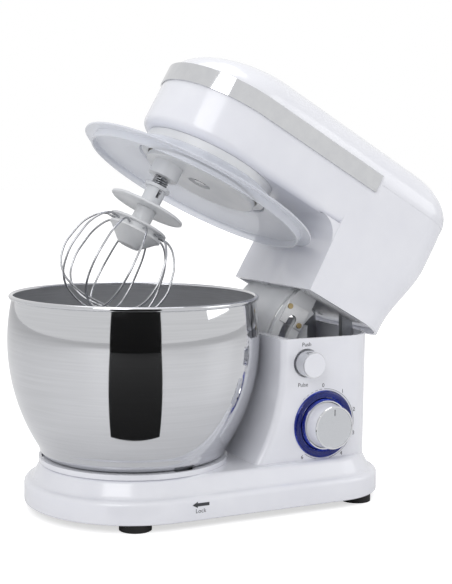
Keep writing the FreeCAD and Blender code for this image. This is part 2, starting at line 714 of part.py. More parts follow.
def neck_wire(half, front, rear, corner, z):
    """Plan outline of the neck at one level: square front, rounded rear corners."""
    diagonal = math.sqrt(0.5)
    b = Vector(rear - corner, -half, z)
    c = Vector(rear, corner - half, z)
    d = Vector(rear, half - corner, z)
    e = Vector(rear - corner, half, z)
    low = Vector(rear - corner * (1 - diagonal), corner - half - corner * diagonal, z)
    high = Vector(low.x, -low.y, z)
    front_low = Vector(front, -half, z)
    front_high = Vector(front, half, z)
    edges = [Part.makeLine(front_low, b), Part.Arc(b, low, c).toShape(), Part.makeLine(c, d),
             Part.Arc(d, high, e).toShape(), Part.makeLine(e, front_high), Part.makeLine(front_high, front_low)]
    return Part.Wire(edges)


def crown(inset):
    """Solid under the domed top, moved inwards by an inset: level outlines lofted upwards along
    a quarter ellipse, drawn in further at the nose than at the sides."""
    half, nose, rear = size("head_half"), size("head_nose"), size("head_rear")
    corner, seam, rise = size("head_corner"), size("seam_z"), size("crown_z - seam_z") - inset
    wires = []
    for step in range(CROWN_STEPS + 1):
        angle = math.radians(90.0 * step / CROWN_STEPS)
        drawn = 1.0 - math.cos(angle)
        level_half = half - inset - drawn * size("crown_side")
        wires.append(head_wire(level_half, nose + inset + drawn * size("crown_nose"),
                               rear - inset - drawn * size("crown_rear"),
                               (corner - inset) * level_half / half, seam + rise * math.sin(angle)))
    return Part.makeLoft(wires, True, False)


def make_upper_cover():
    """Domed top cover of the head, open below."""
    wall = size("wall")
    solid = crown(0.0).cut(crown(wall))
    return feature("HeadUpperCover", solid)


def neck_block(inset):
    """Solid of the neck, moved inwards by an inset: square-fronted levels lofted upwards, with
    the rear swelling out to meet the head."""
    half, rear, corner = size("neck_half"), size("neck_rear"), size("head_corner")
    head_half, head_rear, front = size("head_half"), size("head_rear"), size("neck_front")
    seam, bottom = size("seam_z"), size("neck_bottom")
    low, high = size("swell_low"), size("swell_high")
    wires = []
    for step in range(NECK_STEPS + 1):
        z = bottom + (seam - bottom) * step / NECK_STEPS
        share = min(max((z - low) / (high - low), 0.0), 1.0)
        swell = share * share * (3.0 - 2.0 * share)
        wires.append(neck_wire(half + (head_half - half) * swell - inset, front + inset,
                               rear + (head_rear - rear) * swell - inset, corner - inset, z))
    return Part.makeLoft(wires, True, False)


def nose_block(inset, low, high):
    """Solid of the head in front of the neck, between two levels."""
    half = size("head_half") - inset
    wire = head_wire(half, size("head_nose") + inset, size("motor_x"), 5.0, low)
    return Part.Face(wire).extrude(Vector(0, 0, high - low))


def make_lower_housing():
    """Lower half of the head with its hollow neck: open above, open at the neck's foot."""
    under, seam, wall = size("under_z"), size("seam_z"), size("wall")
    front = nose_block(0.0, under, seam)
    lower_edges = [e for e in front.Edges if flat_at(e, under) and e.BoundBox.XMax < size("motor_x") - 1]
    front = front.makeFillet(size("under_round"), lower_edges)
    radius = size("neck_round")
    x = size("neck_front")
    half = size("head_half")
    web = Part.makeBox(radius, 2 * half, radius, Vector(x - radius, -half, under - radius))
    web = web.cut(Part.makeCylinder(radius, 2 * half + 2, Vector(x - radius, -half - 1, under - radius),
                                    Vector(0, 1, 0)))
    outer = neck_block(0.0).fuse([front, web])
    hollow = neck_block(wall)
    hollow = hollow.fuse(nose_block(wall, under + wall, seam))
    shape = outer.cut(hollow).removeSplitter()
    spindle = Part.makeCylinder(size("bearing_radius") + 2.0, 30, Vector(0, 0, under - 10))
    jack = Part.makeCylinder(size("bearing_radius") + 2.0, 6.0, Vector(size(jack_x), 0, under + wall))
    jack = jack.cut(Part.makeCylinder(size("bearing_radius"), 20, Vector(size(jack_x), 0, under + wall + 0.3)))
    relief = Part.makeCylinder(size("neck_front") + 0.9, size("bowl_rim - neck_bottom") + 3.0,
                               Vector(0, 0, size("neck_bottom") - 1.0))
    relief = relief.common(Part.makeBox(20, 60, 60, Vector(x - 2, -30, size("neck_bottom") - 1.0)))
    return feature("HeadLowerHousing", shape.cut([spindle, relief]).fuse(jack))


keep(make_upper_cover(), "head_upper_cover", True)
keep(make_lower_housing(), "head_lower_housing", True)


def make_chrome_trim():
    """Bright band that wraps the nose of the head across the seam."""
    low, high, end = size("trim_low"), size("trim_high"), size("trim_end")
    inside, outside = size("gap"), size("gap + trim_thick")
    layers = []
    for offset in (outside, inside):
        wire = head_wire(size("head_half") + offset, size("head_nose") - offset, end + 40, 5.0, low)
        layers.append(Part.Face(wire).extrude(Vector(0, 0, high - low)))
    front = Part.makeBox(end + 150, 400, high - low, Vector(-150, -200, low))
    return feature("ChromeTrim", layers[0].cut(layers[1]).common(front))


keep(make_chrome_trim(), "chrome_trim", True)


def make_drum(low):
    """Curved apron about the hinge pin that closes the column's mouth while the head is up. It
    starts beside the latch sector and hangs from the level low."""
    outer = size("pivot_x - chamber_front") - 0.7
    start = size("latch_y + latch_thick") + 1.0
    width = size("neck_half - wall") - 2.0 - start
    top = math.degrees(math.asin((low + 1.0 - size("pivot_z")) / outer))
    sweep = top + 13.0
    tube = Part.makeCylinder(outer, width, Vector(), Vector(0, 0, 1), sweep)
    tube = tube.cut(Part.makeCylinder(outer - 2.0, width, Vector()))
    turned = Rotation(Vector(1, 0, 0), 90) * Rotation(Vector(0, 0, 1), 180.0 - top)
    tube.Placement = Placement(HINGE + Vector(0, start + width, 0), turned)
    return tube


def make_neck_cover():
    """Recessed cover that closes the foot of the neck, with two long ribs, slots for the latch
    sector and the hinge arms, and a curved apron."""
    low = size("neck_bottom + cover_recess")
    thick = 2.5
    half, wall = size("neck_half"), size("wall")
    wire = neck_wire(half - wall - 1.2, size("neck_front") + wall + 0.4, size("neck_rear") - wall - 1.4,
                     size("head_corner") - wall - 1.0, low)
    plate = Part.Face(wire).extrude(Vector(0, 0, thick))
    for y in (-46.0, 30.0):
        rib = Part.makeBox(66, 12, 3.2, Vector(size("neck_front") + 12, y, low - 3.2))
        rib = rib.makeFillet(3.0, [e for e in rib.Edges if flat_at(e, low - 3.2) and e.BoundBox.YLength < 1])
        plate = plate.fuse(rib)
    sector = Part.makeBox(36, 12, 20, Vector(size("chamber_front") - 0.5, size("latch_y") - 4, low - 8))
    plate = plate.cut(sector)
    for y in (-size("ear_side") + 1.0, size("ear_side") - 9.0):
        plate = plate.cut(Part.makeBox(30, 8.0, 20, Vector(size("pivot_x") - 36, y, low - 8)))
    return feature("NeckBottomCover", plate.fuse(make_drum(low)).removeSplitter())


keep(make_neck_cover(), "neck_bottom_cover", True)


# ---------------------------------------------------------------- latch sector on the head
def slot_shape(y, depth, extra):
    """Curved slot about the hinge pin, from the closed to the raised position of the pin."""
    reach = size(latch_radius)
    half = size("slot_half") + extra
    start = math.degrees(math.atan2(size("button_z - pivot_z"), size("button_x - pivot_x")))
    sweep = size("tilt_angle")
    outer = Part.makeCylinder(reach + half, depth, Vector(0, 0, 0), Vector(0, 0, 1), sweep)
    inner = Part.makeCylinder(reach - half, depth + 2, Vector(0, 0, -1))
    band = outer.cut(inner)
    ends = []
    for angle in (0.0, math.radians(sweep)):
        ends.append(Part.makeCylinder(half, depth, Vector(reach * math.cos(angle), reach * math.sin(angle), 0)))
    shape = band.fuse(ends)
    shape.Placement = Placement(HINGE + Vector(0, y + depth, 0), Rotation(Vector(1, 0, 0), 90)) * Placement(
        Vector(), Rotation(Vector(0, 0, 1), start))
    return shape


def sector_blank(y, depth, inner, outer, start, sweep):
    """Flat ring sector about the hinge pin. Angles run from the closed pin position, downwards."""
    shape = Part.makeCylinder(outer, depth, Vector(0, 0, 0), Vector(0, 0, 1), sweep)
    shape = shape.cut(Part.makeCylinder(inner, depth + 2, Vector(0, 0, -1)))
    base = math.degrees(math.atan2(size("button_z - pivot_z"), size("button_x - pivot_x")))
    shape.Placement = Placement(HINGE + Vector(0, y + depth, 0), Rotation(Vector(1, 0, 0), 90)) * Placement(
        Vector(), Rotation(Vector(0, 0, 1), base + start))
    return shape


def make_latch_sector():
    """Moulded sector that hangs from the neck into the column and carries the slot."""
    y, depth = size("latch_y"), size("latch_thick")
    inner, outer = size("latch_inner"), size("latch_outer")
    blank = sector_blank(y, depth, inner, outer, -19.0, 19.0 + size("tilt_angle") + 8.0)
    hanger = Part.makeBox(28, depth, 26, Vector(size("chamber_front") + 4, y, size("neck_bottom") - 12))
    hanger = hanger.common(Part.makeCylinder(outer, depth, HINGE + Vector(0, y, 0), Vector(0, 1, 0)))
    return feature("LatchSector", blank.fuse(hanger).cut(slot_shape(y - 1, depth + 2, 0.6)).removeSplitter())


def make_latch_plate():
    """Steel wear plate on the sector, round the top of the slot."""
    y, depth = size("latch_y") - size("plate_thick"), size("plate_thick")
    plate = Part.makeBox(25, depth, 21, Vector(size("chamber_front") + 5, y, size("button_z") - 6))
    return feature("LatchPlate", plate.cut(slot_shape(y - 1, depth + 2, 0.0)))


def make_plate_screws():
    """Two countersunk screws that hold the wear plate."""
    y = size("latch_y") - size("plate_thick")
    spots = [(size("chamber_front") + 8.5, size("button_z") + 10.5), (size("chamber_front") + 26.0, size("button_z") - 1.5)]
    heads = [Part.makeCylinder(2.6, 1.0, Vector(x, y - 1.0, z), Vector(0, 1, 0)) for x, z in spots]
    return feature("LatchPlateScrews", Part.makeCompound(heads))


keep(make_latch_sector(), "latch_sector", True)
keep(make_latch_plate(), "latch_plate", True)
keep(make_plate_screws(), "latch_plate_screws", True)


def make_hinge_carrier():
    """Two arms that lean forward from the hinge pin up into the neck, joined by a plate."""
    deck = size("neck_bottom + cover_recess") + 2.8
    lean = math.radians(size("tilt_angle") + 3.0)
    arms = []
    for y in (-size("ear_side") + 2.0, size("ear_side") - 8.0):
        hub = Part.makeCylinder(size("ear_radius"), 6.0, HINGE + Vector(0, y, 0), Vector(0, 1, 0))
        rise = deck - HINGE.z + 3.0
        back = Vector(HINGE.x + size("ear_radius") * math.cos(lean), y, HINGE.z + size("ear_radius") * math.sin(lean))
        fore = Vector(HINGE.x - size("ear_radius") * math.cos(lean), y, HINGE.z - size("ear_radius") * math.sin(lean))
        step = Vector(-rise * math.tan(lean), 0, rise)
        arm = Part.Face(Part.makePolygon([back, back + step, fore + step + Vector(0, 0, 2), fore, back]))
        arms.append(hub.fuse(arm.extrude(Vector(0, 6.0, 0))))
    plate = Part.makeBox(34, 2 * size("ear_side") - 4, 3.0, Vector(HINGE.x - 44, -size("ear_side") + 2, deck))
    solid = plate.fuse(arms).cut(Part.makeBox(80, 200, 30, Vector(HINGE.x - 70, -100, deck + 3.0)))
    bush = size("pin_radius + 1.4")
    solid = solid.cut(Part.makeCylinder(bush, 200, HINGE - Vector(0, 100, 0), Vector(0, 1, 0)))
    return feature("HingeCarrier", solid.removeSplitter())


def make_bushes():
    """Plain bushes in the hinge arms, running on the pin."""
    bushes = []
    for y in (-size("ear_side") + 2.0, size("ear_side") - 8.0):
        tube = Part.makeCylinder(size("pin_radius + 1.4"), 6.0, HINGE + Vector(0, y, 0), Vector(0, 1, 0))
        bushes.append(tube.cut(Part.makeCylinder(size("pin_radius + run_gap"), 6.0, HINGE + Vector(0, y, 0), Vector(0, 1, 0))))
    return feature("HingeBushes", Part.makeCompound(bushes))


keep(make_hinge_carrier(), "hinge_carrier", True)
keep(make_bushes(), "hinge_bushes", True)


def make_cover_screws():
    """Four screws that hold the neck's bottom cover."""
    z = size("neck_bottom + cover_recess") - 1.6
    spots = [(x, y) for x in (size("neck_front") + 9, size("neck_rear") - 26) for y in (-60.0, 60.0)]
    heads = [Part.makeCylinder(3.2, 1.6, Vector(x, y, z)) for x, y in spots]
    return feature("CoverScrews", Part.makeCompound(heads))


keep(make_cover_screws(), "cover_screws", True)


# ---------------------------------------------------------------- motor and belt
def make_stator():
    """Laminated field stack with its two coil ends."""
    low, tall = size("stator_low"), size("stator_tall")
    radius = size("stator_radius")
    stack = Part.makeCylinder(radius, tall, Vector(size("motor_x"), 0, low))
    stack = stack.cut(Part.makeCylinder(19.5, tall, Vector(size("motor_x"), 0, low)))
    return feature("MotorStator", stack)


def make_motor_bracket():
    """Bracket above and below the stator that holds the motor's bearings."""
    x = size("motor_x")
    low = size("stator_low") - 8
    high = size("stator_low") + size("stator_tall") + 12
    plates = []
    for z in (low, high):
        plate = Part.makeBox(60, 56, 3, Vector(x - 30, -28, z))
        plates.append(plate.cut(Part.makeCylinder(8.0, 3, Vector(x, 0, z))))
    posts = [Part.makeCylinder(2.5, high - low - 3, Vector(x + sx * 27, sy * 25.5, low + 3))
             for sx in (-1, 1) for sy in (-1, 1)]
    return feature("MotorBracket", plates[0].fuse(plates[1:] + posts))


def make_rotor():
    """Armature, commutator and shaft."""
    x = size("motor_x")
    low = size("stator_low")
    shaft = Part.makeCylinder(4.0, size("belt_low + belt_wide") - low + 12, Vector(x, 0, low - 12))
    core = Part.makeCylinder(18.8, size("stator_tall") - 4, Vector(x, 0, low + 2))
    commutator = Part.makeCylinder(9.0, 8, Vector(x, 0, low - 3.5))
    return feature("MotorRotor", shaft.fuse([core, commutator]))


def make_fan():
    """Cooling fan on the motor's shaft."""
    x = size("motor_x")
    z = size("stator_low") + size("stator_tall") + 1.5
    disc = Part.makeCylinder(24.0, 1.5, Vector(x, 0, z))
    blades = []
    for i in range(9):
        blade = Part.makeBox(15, 1.4, 7, Vector(8, -0.7, 0))
        blade.Placement = Placement(Vector(x, 0, z + 1.5), Rotation(Vector(0, 0, 1), 40 * i))
        blades.append(blade)
    fan = disc.fuse(blades).cut(Part.makeCylinder(4.0, 12, Vector(x, 0, z - 1)))
    return feature("MotorFan", fan)


def bearing(x, z, bore):
    """Plain-sided ball bearing, as one ring."""
    outer = Part.makeCylinder(size("bearing_radius"), size("bearing_thick"), Vector(x, 0, z))
    return outer.cut(Part.makeCylinder(bore, size("bearing_thick"), Vector(x, 0, z)))


def make_motor_bearings():
    """Two self-aligning bush bearings in the motor bracket."""
    x = size("motor_x")
    rings = []
    for z in (size("stator_low") - 8, size("stator_low") + size("stator_tall") + 12):
        ring_shape = Part.makeCylinder(8.0, 3, Vector(x, 0, z))
        rings.append(ring_shape.cut(Part.makeCylinder(size("4.0 + run_gap"), 3, Vector(x, 0, z))))
    return feature("MotorBearings", Part.makeCompound(rings))


def make_brushes():
    """Two carbon brushes, one on each side of the commutator."""
    x = size("motor_x")
    z = size("stator_low") - 2.4
    brushes = [Part.makeBox(16, 5, 2.2, Vector(x + 9.4, -2.5, z)),
               Part.makeBox(16, 5, 2.2, Vector(x - 25.4, -2.5, z))]
    return feature("CarbonBrushes", Part.makeCompound(brushes))


def pulley(radius, x, bore):
    """Flanged belt pulley."""
    low, wide = size("belt_low"), size("belt_wide")
    core = Part.makeCylinder(radius, wide + 1, Vector(x, 0, low - 0.5))
    flanges = [Part.makeCylinder(radius + 2.6, 1.2, Vector(x, 0, z)) for z in (low - 1.7, low + wide + 0.5)]
    return core.fuse(flanges).cut(Part.makeCylinder(bore, wide + 10, Vector(x, 0, low - 5)))


def make_belt():
    """Drive belt round both pulleys, clear of them by a hair."""
    low, wide = size("belt_low"), size("belt_wide")
    gap, thick = 0.1, size("belt_thick")

    def loop(extra):
        """Solid inside a belt line that stands off both pulleys by extra."""
        big, small = size("big_pulley") + extra, size("small_pulley") + extra
        x1, x2 = size(jack_x), size("motor_x")
        lean = math.acos((big - small) / (x2 - x1))
        dx, dy = math.cos(lean), math.sin(lean)
        a, b = Vector(x1 + big * dx, big * dy, low), Vector(x2 + small * dx, small * dy, low)
        c, d = Vector(b.x, -b.y, low), Vector(a.x, -a.y, low)
        edges = [Part.makeLine(a, b), Part.Arc(b, Vector(x2 + small, 0, low), c).toShape(),
                 Part.makeLine(c, d), Part.Arc(d, Vector(x1 - big, 0, low), a).toShape()]
        return Part.Face(Part.Wire(edges)).extrude(Vector(0, 0, wide))

    return feature("DriveBelt", loop(gap + thick).cut(loop(gap)))


keep(make_stator(), "motor_stator", True)
keep(make_motor_bracket(), "motor_bracket", True)
keep(make_rotor(), "motor_rotor", True)
keep(make_fan(), "motor_fan", True)
keep(make_motor_bearings(), "motor_bearings", True)
keep(make_brushes(), "carbon_brushes", True)
keep(feature("MotorPulley", pulley(size("small_pulley"), size("motor_x"), 4.0)), "motor_pulley", True)
keep(feature("LargePulley", pulley(size("big_pulley"), size(jack_x), 5.0)), "large_pulley", True)
keep(make_belt(), "drive_belt", True)


# ---------------------------------------------------------------- gears
def gear_blank(teeth, module, internal=False, phase=0.0):
    """Face outline of a gear with straight-flanked teeth, thinned for running clearance."""
    pitch = math.pi * 2 / teeth
    radius = module * teeth / 2
    thin = 0.42
    top, foot = (radius - 0.95 * module, radius + 1.2 * module) if internal else (
        radius + 0.95 * module, radius - 1.2 * module)
    points = []
    for i in range(teeth):
        middle = i * pitch + phase
        slope = math.tan(math.radians(20)) / radius
        top_half = thin * pitch / 2 - abs(top - radius) * slope
        foot_half = thin * pitch / 2 + abs(foot - radius) * slope
        for r, angle in ((foot, -foot_half), (top, -top_half), (top, top_half), (foot, foot_half)):
            points.append(Vector(r * math.cos(middle + angle), r * math.sin(middle + angle), 0))
    points.append(points[0])
    return Part.Face(Part.makePolygon(points))


def spur(teeth, module, x, z, thick, bore, phase=0.0):
    """Spur gear with a bore."""
    gear = gear_blank(teeth, module, False, phase).extrude(Vector(0, 0, thick))
    gear = gear.cut(Part.makeCylinder(bore, thick + 2, Vector(0, 0, -1)))
    gear.translate(Vector(x, 0, z))
    return gear


main_module = size("main_module")
planet_module = size("planet_module")
planet_teeth, ring_teeth = int(size("planet_teeth")), int(size("ring_teeth"))
main_teeth, pinion_teeth = int(size("main_teeth")), int(size("pinion_teeth"))
tool_x = -size(planet_offset)


def make_main_gear():
    """Large output gear on the main spindle, a tooth pointing at the pinion."""
    return spur(main_teeth, main_module, 0, size("main_low"), size("main_thick"), size("spindle_radius"))


def make_jack_pinion():
    """Small gear on the jackshaft, a gap pointing at the main gear."""
    phase = math.pi + math.pi / pinion_teeth
    return spur(pinion_teeth, main_module, size(jack_x), size("main_low") + 0.8, size("main_thick"), 5.0, phase)


def make_planet():
    """Planet gear on the tool shaft, a tooth pointing away from the spindle."""
    return spur(planet_teeth, planet_module, tool_x, size("gear_low"), size("gear_thick"),
                size("tool_radius"), math.pi)


def make_ring_gear():
    """Internal ring gear pressed into its housing."""
    low, thick = size("gear_low"), size("gear_thick")
    disc = Part.makeCylinder(size("ring_bore") - 0.1, thick, Vector(0, 0, low))
    phase = math.pi + math.pi / ring_teeth
    cutter = gear_blank(ring_teeth, planet_module, True, phase).extrude(Vector(0, 0, thick + 2))
    cutter.translate(Vector(0, 0, low - 1))
    return disc.cut(cutter)


keep(feature("MainGear", make_main_gear()), "main_gear", True)
keep(feature("JackshaftPinion", make_jack_pinion()), "jackshaft_pinion", True)
keep(feature("PlanetPinion", make_planet()), "planet_pinion", True)
keep(feature("RingGear", make_ring_gear()), "ring_gear", True)


def make_ring_housing():
    """Round housing under the head: holds the ring gear and the lower spindle bearing."""
    low, top = size("ring_low"), size("under_z") - 0.2
    outer, bore = size("ring_housing"), size("ring_bore")
    solid = Part.makeCylinder(outer, top - low, Vector(0, 0, low))
    solid = solid.cut(Part.makeCylinder(bore, top - low - 3, Vector(0, 0, low)))
    seat = Part.makeCylinder(size("bearing_radius") + 1.8, 9.0, Vector(0, 0, top - 3))
    solid = solid.fuse(seat)
    solid = solid.cut(Part.makeCylinder(size("bearing_radius"), 40, Vector(0, 0, top - 1.5)))
    solid = solid.cut(Part.makeCylinder(size("bearing_radius") - 2, 40, Vector(0, 0, top - 20)))
    tab = Part.makeBox(2.2, 12, 5, Vector(outer - 1, -6, low + 1))
    return feature("RingHousing", solid.fuse(tab))


def make_gear_plate():
    """Plate above the main gear that holds the upper bearings."""
    z = size("main_low + main_thick") + 2.0
    plate = Part.makeBox(size(jack_x) + 40, 60, 3, Vector(-20, -30, z))
    for x in (0.0, size(jack_x)):
        plate = plate.cut(Part.makeCylinder(size("bearing_radius"), 10, Vector(x, 0, z - 1)))
    posts = [Part.makeCylinder(3, z - size("under_z") - size("wall"), Vector(x, y, size("under_z + wall")))
             for x in (size(jack_x) + 15,) for y in (-24, 24)]
    return feature("GearPlate", plate.fuse(posts))


def make_shaft_bearings():
    """Four ball bearings: two on the main spindle and two on the jackshaft."""
    top = size("main_low + main_thick") + 2.0
    low = size("under_z") - 1.7
    jack_low = size("under_z + wall") + 0.3
    spindle = size("spindle_radius + run_gap")
    jack = size("5 + run_gap")
    rings = []
    for x, z, bore in ((0, low, spindle), (0, top, spindle), (size(jack_x), jack_low, jack), (size(jack_x), top, jack)):
        rings.append(bearing(x, z, bore))
    return feature("ShaftBearings", Part.makeCompound(rings))


keep(make_ring_housing(), "ring_housing", True)
keep(make_gear_plate(), "gear_plate", True)
keep(make_shaft_bearings(), "shaft_bearings", True)


def make_carrier():
    """Planet carrier: the disc under the head, its tool boss and the recess for its screw."""
    low, thick = size("carrier_z"), size("carrier_thick")
    disc = Part.makeCylinder(size("carrier_radius"), thick, Vector(0, 0, low))
    lower = [e for e in disc.Edges if flat_at(e, low)]
    disc = disc.makeFillet(1.5, lower)
    boss = Part.makeCylinder(size("boss_radius"), low - size("boss_low"), Vector(tool_x, 0, size("boss_low")))
    recess = Part.makeCylinder(11.0, 3.0, Vector(0, 0, low))
    solid = disc.fuse(boss).cut(recess)
    solid = solid.cut(Part.makeCylinder(size("tool_radius + run_gap"), 60, Vector(tool_x, 0, size("boss_low") - 20)))
    return feature("PlanetCarrier", solid.cut(Part.makeCylinder(3.0, 30, Vector(0, 0, low - 10))))


def make_spindle():
    """Main spindle standing on the carrier."""
    low = size("carrier_z + carrier_thick")
    return feature("MainSpindle", Part.makeCylinder(size("spindle_radius"), size("main_low + main_thick") + 9.0 - low,
                                                    Vector(0, 0, low)))


def make_carrier_screw():
    """Screw in the middle of the carrier."""
    low = size("carrier_z")
    head = Part.makeCylinder(5.5, 2.2, Vector(0, 0, low + 0.8))
    shank = Part.makeCylinder(2.9, 2.0, Vector(0, 0, low + 3.0))
    return feature("CarrierScrew", head.fuse(shank))


def make_jackshaft():
    """Shaft between the belt stage and the gear stage."""
    low = size("under_z + wall") + 0.3
    return feature("Jackshaft", Part.makeCylinder(5.0, size("belt_low + belt_wide") + 4 - low, Vector(size(jack_x), 0, low)))


keep(make_carrier(), "planet_carrier", True)
keep(make_spindle(), "main_spindle", True)
keep(make_carrier_screw(), "carrier_screw", True)
keep(make_jackshaft(), "jackshaft", True)


# ---------------------------------------------------------------- tool shaft and whisk
pin_z = size("cap_z") + 17.0
collar_top = size("cap_z") + 22.5


def make_tool_shaft():
    """Tool shaft, drilled near its lower end for the cross pin."""
    low = size("cap_z") + 7.0
    shaft = Part.makeCylinder(size("tool_radius"), size("gear_low + gear_thick") + 1.5 - low, Vector(tool_x, 0, low))
    return feature("ToolShaft", shaft.cut(pin_solid()))


def pin_solid():
    """Cross pin, through the tool shaft."""
    return Part.makeCylinder(1.2, 21.6, Vector(tool_x, -10.8, pin_z), Vector(0, 1, 0))


def make_tool_spring():
    """Compression spring between the carrier's boss and the whisk's collar."""
    wire, halves = 0.8, 6
    low, high = collar_top + 0.1, size("boss_low") - 0.1
    shape = coil(6.6, wire, 2 * (high - low - 2 * wire) / halves, halves)
    shape.Placement = Placement(Vector(tool_x, 0, low + wire), Rotation())
    return feature("ToolSpring", shape)


def make_collar():
    """Collar of the whisk with its slot, running on the tool shaft."""
    low = size("cap_z") + 2.0
    tube = Part.makeCylinder(9.2, collar_top - low, Vector(tool_x, 0, low))
    flange = Part.makeCylinder(11.8, 3.0, Vector(tool_x, 0, collar_top - 3.0))
    slot = Part.makeBox(3.0, 40, 7.4, Vector(tool_x - 1.5, -20, pin_z - 5.7))
    solid = tube.fuse(flange)
    solid = solid.cut(Part.makeCylinder(size("tool_radius + run_gap"), 60, Vector(tool_x, 0, low)))
    return feature("WhiskCollar", solid.cut(slot).removeSplitter())


def make_splash_cap():
    """Dished cap on the whisk that keeps the mix off the shaft."""
    low = size("cap_z")
    disc = Part.makeCylinder(size("cap_radius"), 2.0, Vector(tool_x, 0, low))
    rim = Part.makeCylinder(size("cap_radius"), 3.0, Vector(tool_x, 0, low - 1.0))
    rim = rim.cut(Part.makeCylinder(size("cap_radius") - 2.0, 3.0, Vector(tool_x, 0, low - 1.0)))
    return feature("SplashCap", disc.fuse(rim))


def make_hub():
    """Whisk hub: stem, two wire plates and the tapered foot."""
    top, plate, foot = size("cap_z"), size("hub_z"), size("cone_low")
    radius = size("hub_radius")
    stem = Part.makeCylinder(9.2, top - plate, Vector(tool_x, 0, plate))
    upper = Part.makeCylinder(radius, 2.2, Vector(tool_x, 0, plate + 0.8))
    neck = Part.makeCylinder(radius - 6.0, 5.0, Vector(tool_x, 0, plate - 4.0))
    lower = Part.makeCylinder(radius - 2.5, 2.4, Vector(tool_x, 0, plate - 6.0))
    cone = Part.makeCone(11.0, radius - 4.0, plate - 6.0 - foot, Vector(tool_x, 0, foot))
    return feature("WhiskHub", stem.fuse([upper, neck, lower, cone]))


def whisk_loop(angle, drop):
    """One wire loop: out of the hub's edge, round the bulge and under, then back up."""
    bulge, low, wire = size("whisk_bulge"), size("whisk_low") + drop, size("wire_radius")
    rim, start_z = size("hub_radius"), size("hub_z") - 1.5
    points = [Vector(rim - 5.6, 0, start_z), Vector(rim - 1.0, 0, start_z + 0.3),
              Vector(rim + 3.0, 0, start_z + 0.4), Vector(bulge - 8.0, 0, start_z - 10.0),
              Vector(bulge - 1.0, 0, start_z - 30.0), Vector(bulge, 0, low + 30.0),
              Vector(bulge * 0.86, 0, low + 12.5), Vector(bulge * 0.5, 0, low + 2.4), Vector(0, 0, low)]
    points += [Vector(-p.x, 0, p.z) for p in reversed(points[:-1])]
    curve = Part.BSplineCurve()
    curve.interpolate(points)
    loop = bent_rod(curve.toBiArcs(0.4), wire)
    loop.Placement = Placement(Vector(tool_x, 0, 0), Rotation(Vector(0, 0, 1), angle))
    return loop


def make_wires():
    """The whisk's wire loops, each crossing a little below the last."""
    loops = int(size("wire_loops"))
    step = 2 * size("wire_radius") + 0.4
    shapes = [whisk_loop(180.0 / loops * i + 9.0, step * i) for i in range(loops)]
    return feature("WhiskWires", Part.makeCompound(shapes))


keep(make_tool_shaft(), "tool_shaft", True)
keep(make_tool_spring(), "tool_spring", True)
keep(feature("CrossPin", pin_solid()), "cross_pin", True)
keep(make_collar(), "whisk_collar", True)
keep(make_splash_cap(), "splash_cap", True)
keep(make_hub(), "whisk_hub", True)
keep(make_wires(), "whisk_wires", True)


# ---------------------------------------------------------------- splash guard
def make_guard():
    """Clear guard over the bowl: collar, gently raised dish, lip inside the rim and a flange, cut
    straight where it meets the neck."""
    guard = body("GuardBody")
    wall, high = "guard_wall", "ring_low"
    profile = [("guard_hole", high + " - " + wall), ("guard_hole + 9", high + " - " + wall),
               ("guard_lip - guard_wall", "guard_z"), ("guard_lip - guard_wall", "guard_z - 6.5"),
               ("guard_lip", "guard_z - 6.5"), ("guard_lip", "guard_z"), ("guard_radius", "guard_z"),
               ("guard_radius", "guard_z + guard_wall"), ("guard_lip - 1", "guard_z + guard_wall"),
               ("guard_hole + 9.5", high), ("guard_hole + guard_wall", high),
               ("guard_hole + guard_wall", high + " + 8"), ("guard_hole", high + " + 8")]
    turn(guard, outline(sketch(guard, "XZ_Plane", "GuardSection"), profile))
    back = block("GuardBack", "neck_front - gap - 0.3", "-50", "guard_z - 10", "20", "100", "20")
    return cut("SplashGuard", guard, back)


keep(make_guard(), "splash_guard", True)


# ---------------------------------------------------------------- checks and files
doc.recompute()
for item in doc.Objects:
    if "Invalid" in item.State or "Error" in item.State:
        raise RuntimeError("%s failed: %s" % (item.Name, item.State))
for item in PARTS:
    if item.Shape.isNull() or not item.Shape.isValid() or not item.Shape.Solids:
        raise RuntimeError("%s has no valid solid" % item.Label)

os.makedirs("parts", exist_ok=True)
for item in PARTS:
    item.Shape.exportStep("parts/%s.step" % item.Label)
print("%d sub-parts" % len(PARTS))
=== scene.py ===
import math
import bmesh
import bpy
from mathutils import Matrix, Vector


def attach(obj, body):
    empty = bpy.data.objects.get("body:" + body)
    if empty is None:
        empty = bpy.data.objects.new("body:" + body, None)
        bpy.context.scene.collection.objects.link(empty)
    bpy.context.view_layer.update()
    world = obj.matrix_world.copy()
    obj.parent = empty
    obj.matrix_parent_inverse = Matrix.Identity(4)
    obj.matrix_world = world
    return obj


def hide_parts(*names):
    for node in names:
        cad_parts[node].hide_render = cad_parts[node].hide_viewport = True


# Looks of a tilt-head stand mixer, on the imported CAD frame. Sizes are in millimetres in the
# design frame (bowl axis at X = 0, head drawn closed) and are turned into metres when placed.

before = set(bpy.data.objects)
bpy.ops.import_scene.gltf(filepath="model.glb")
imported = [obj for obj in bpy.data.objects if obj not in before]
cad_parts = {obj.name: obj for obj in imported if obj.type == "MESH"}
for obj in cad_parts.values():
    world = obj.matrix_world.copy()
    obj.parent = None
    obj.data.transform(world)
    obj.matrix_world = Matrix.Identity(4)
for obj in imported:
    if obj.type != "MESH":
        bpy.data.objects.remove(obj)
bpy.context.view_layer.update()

MM = 0.001
PIVOT = (205.5, 122.0)
TILT = math.radians(29.0)
FACE_Y = -74.7
DIAL_X = 155.0
DIAL_Z = 73.6
WORD_HEIGHT = 3.6


def placed(x, y, z):
    """Translation by millimetres."""
    return Matrix.Translation((x * MM, y * MM, z * MM))


STAND = placed(-97.7, 0, 0)
HEAD = STAND @ placed(PIVOT[0], 0, PIVOT[1]) @ Matrix.Rotation(TILT, 4, "Y") @ placed(-PIVOT[0], 0, -PIVOT[1])
TOOL = HEAD @ placed(-34.5, 0, 0)
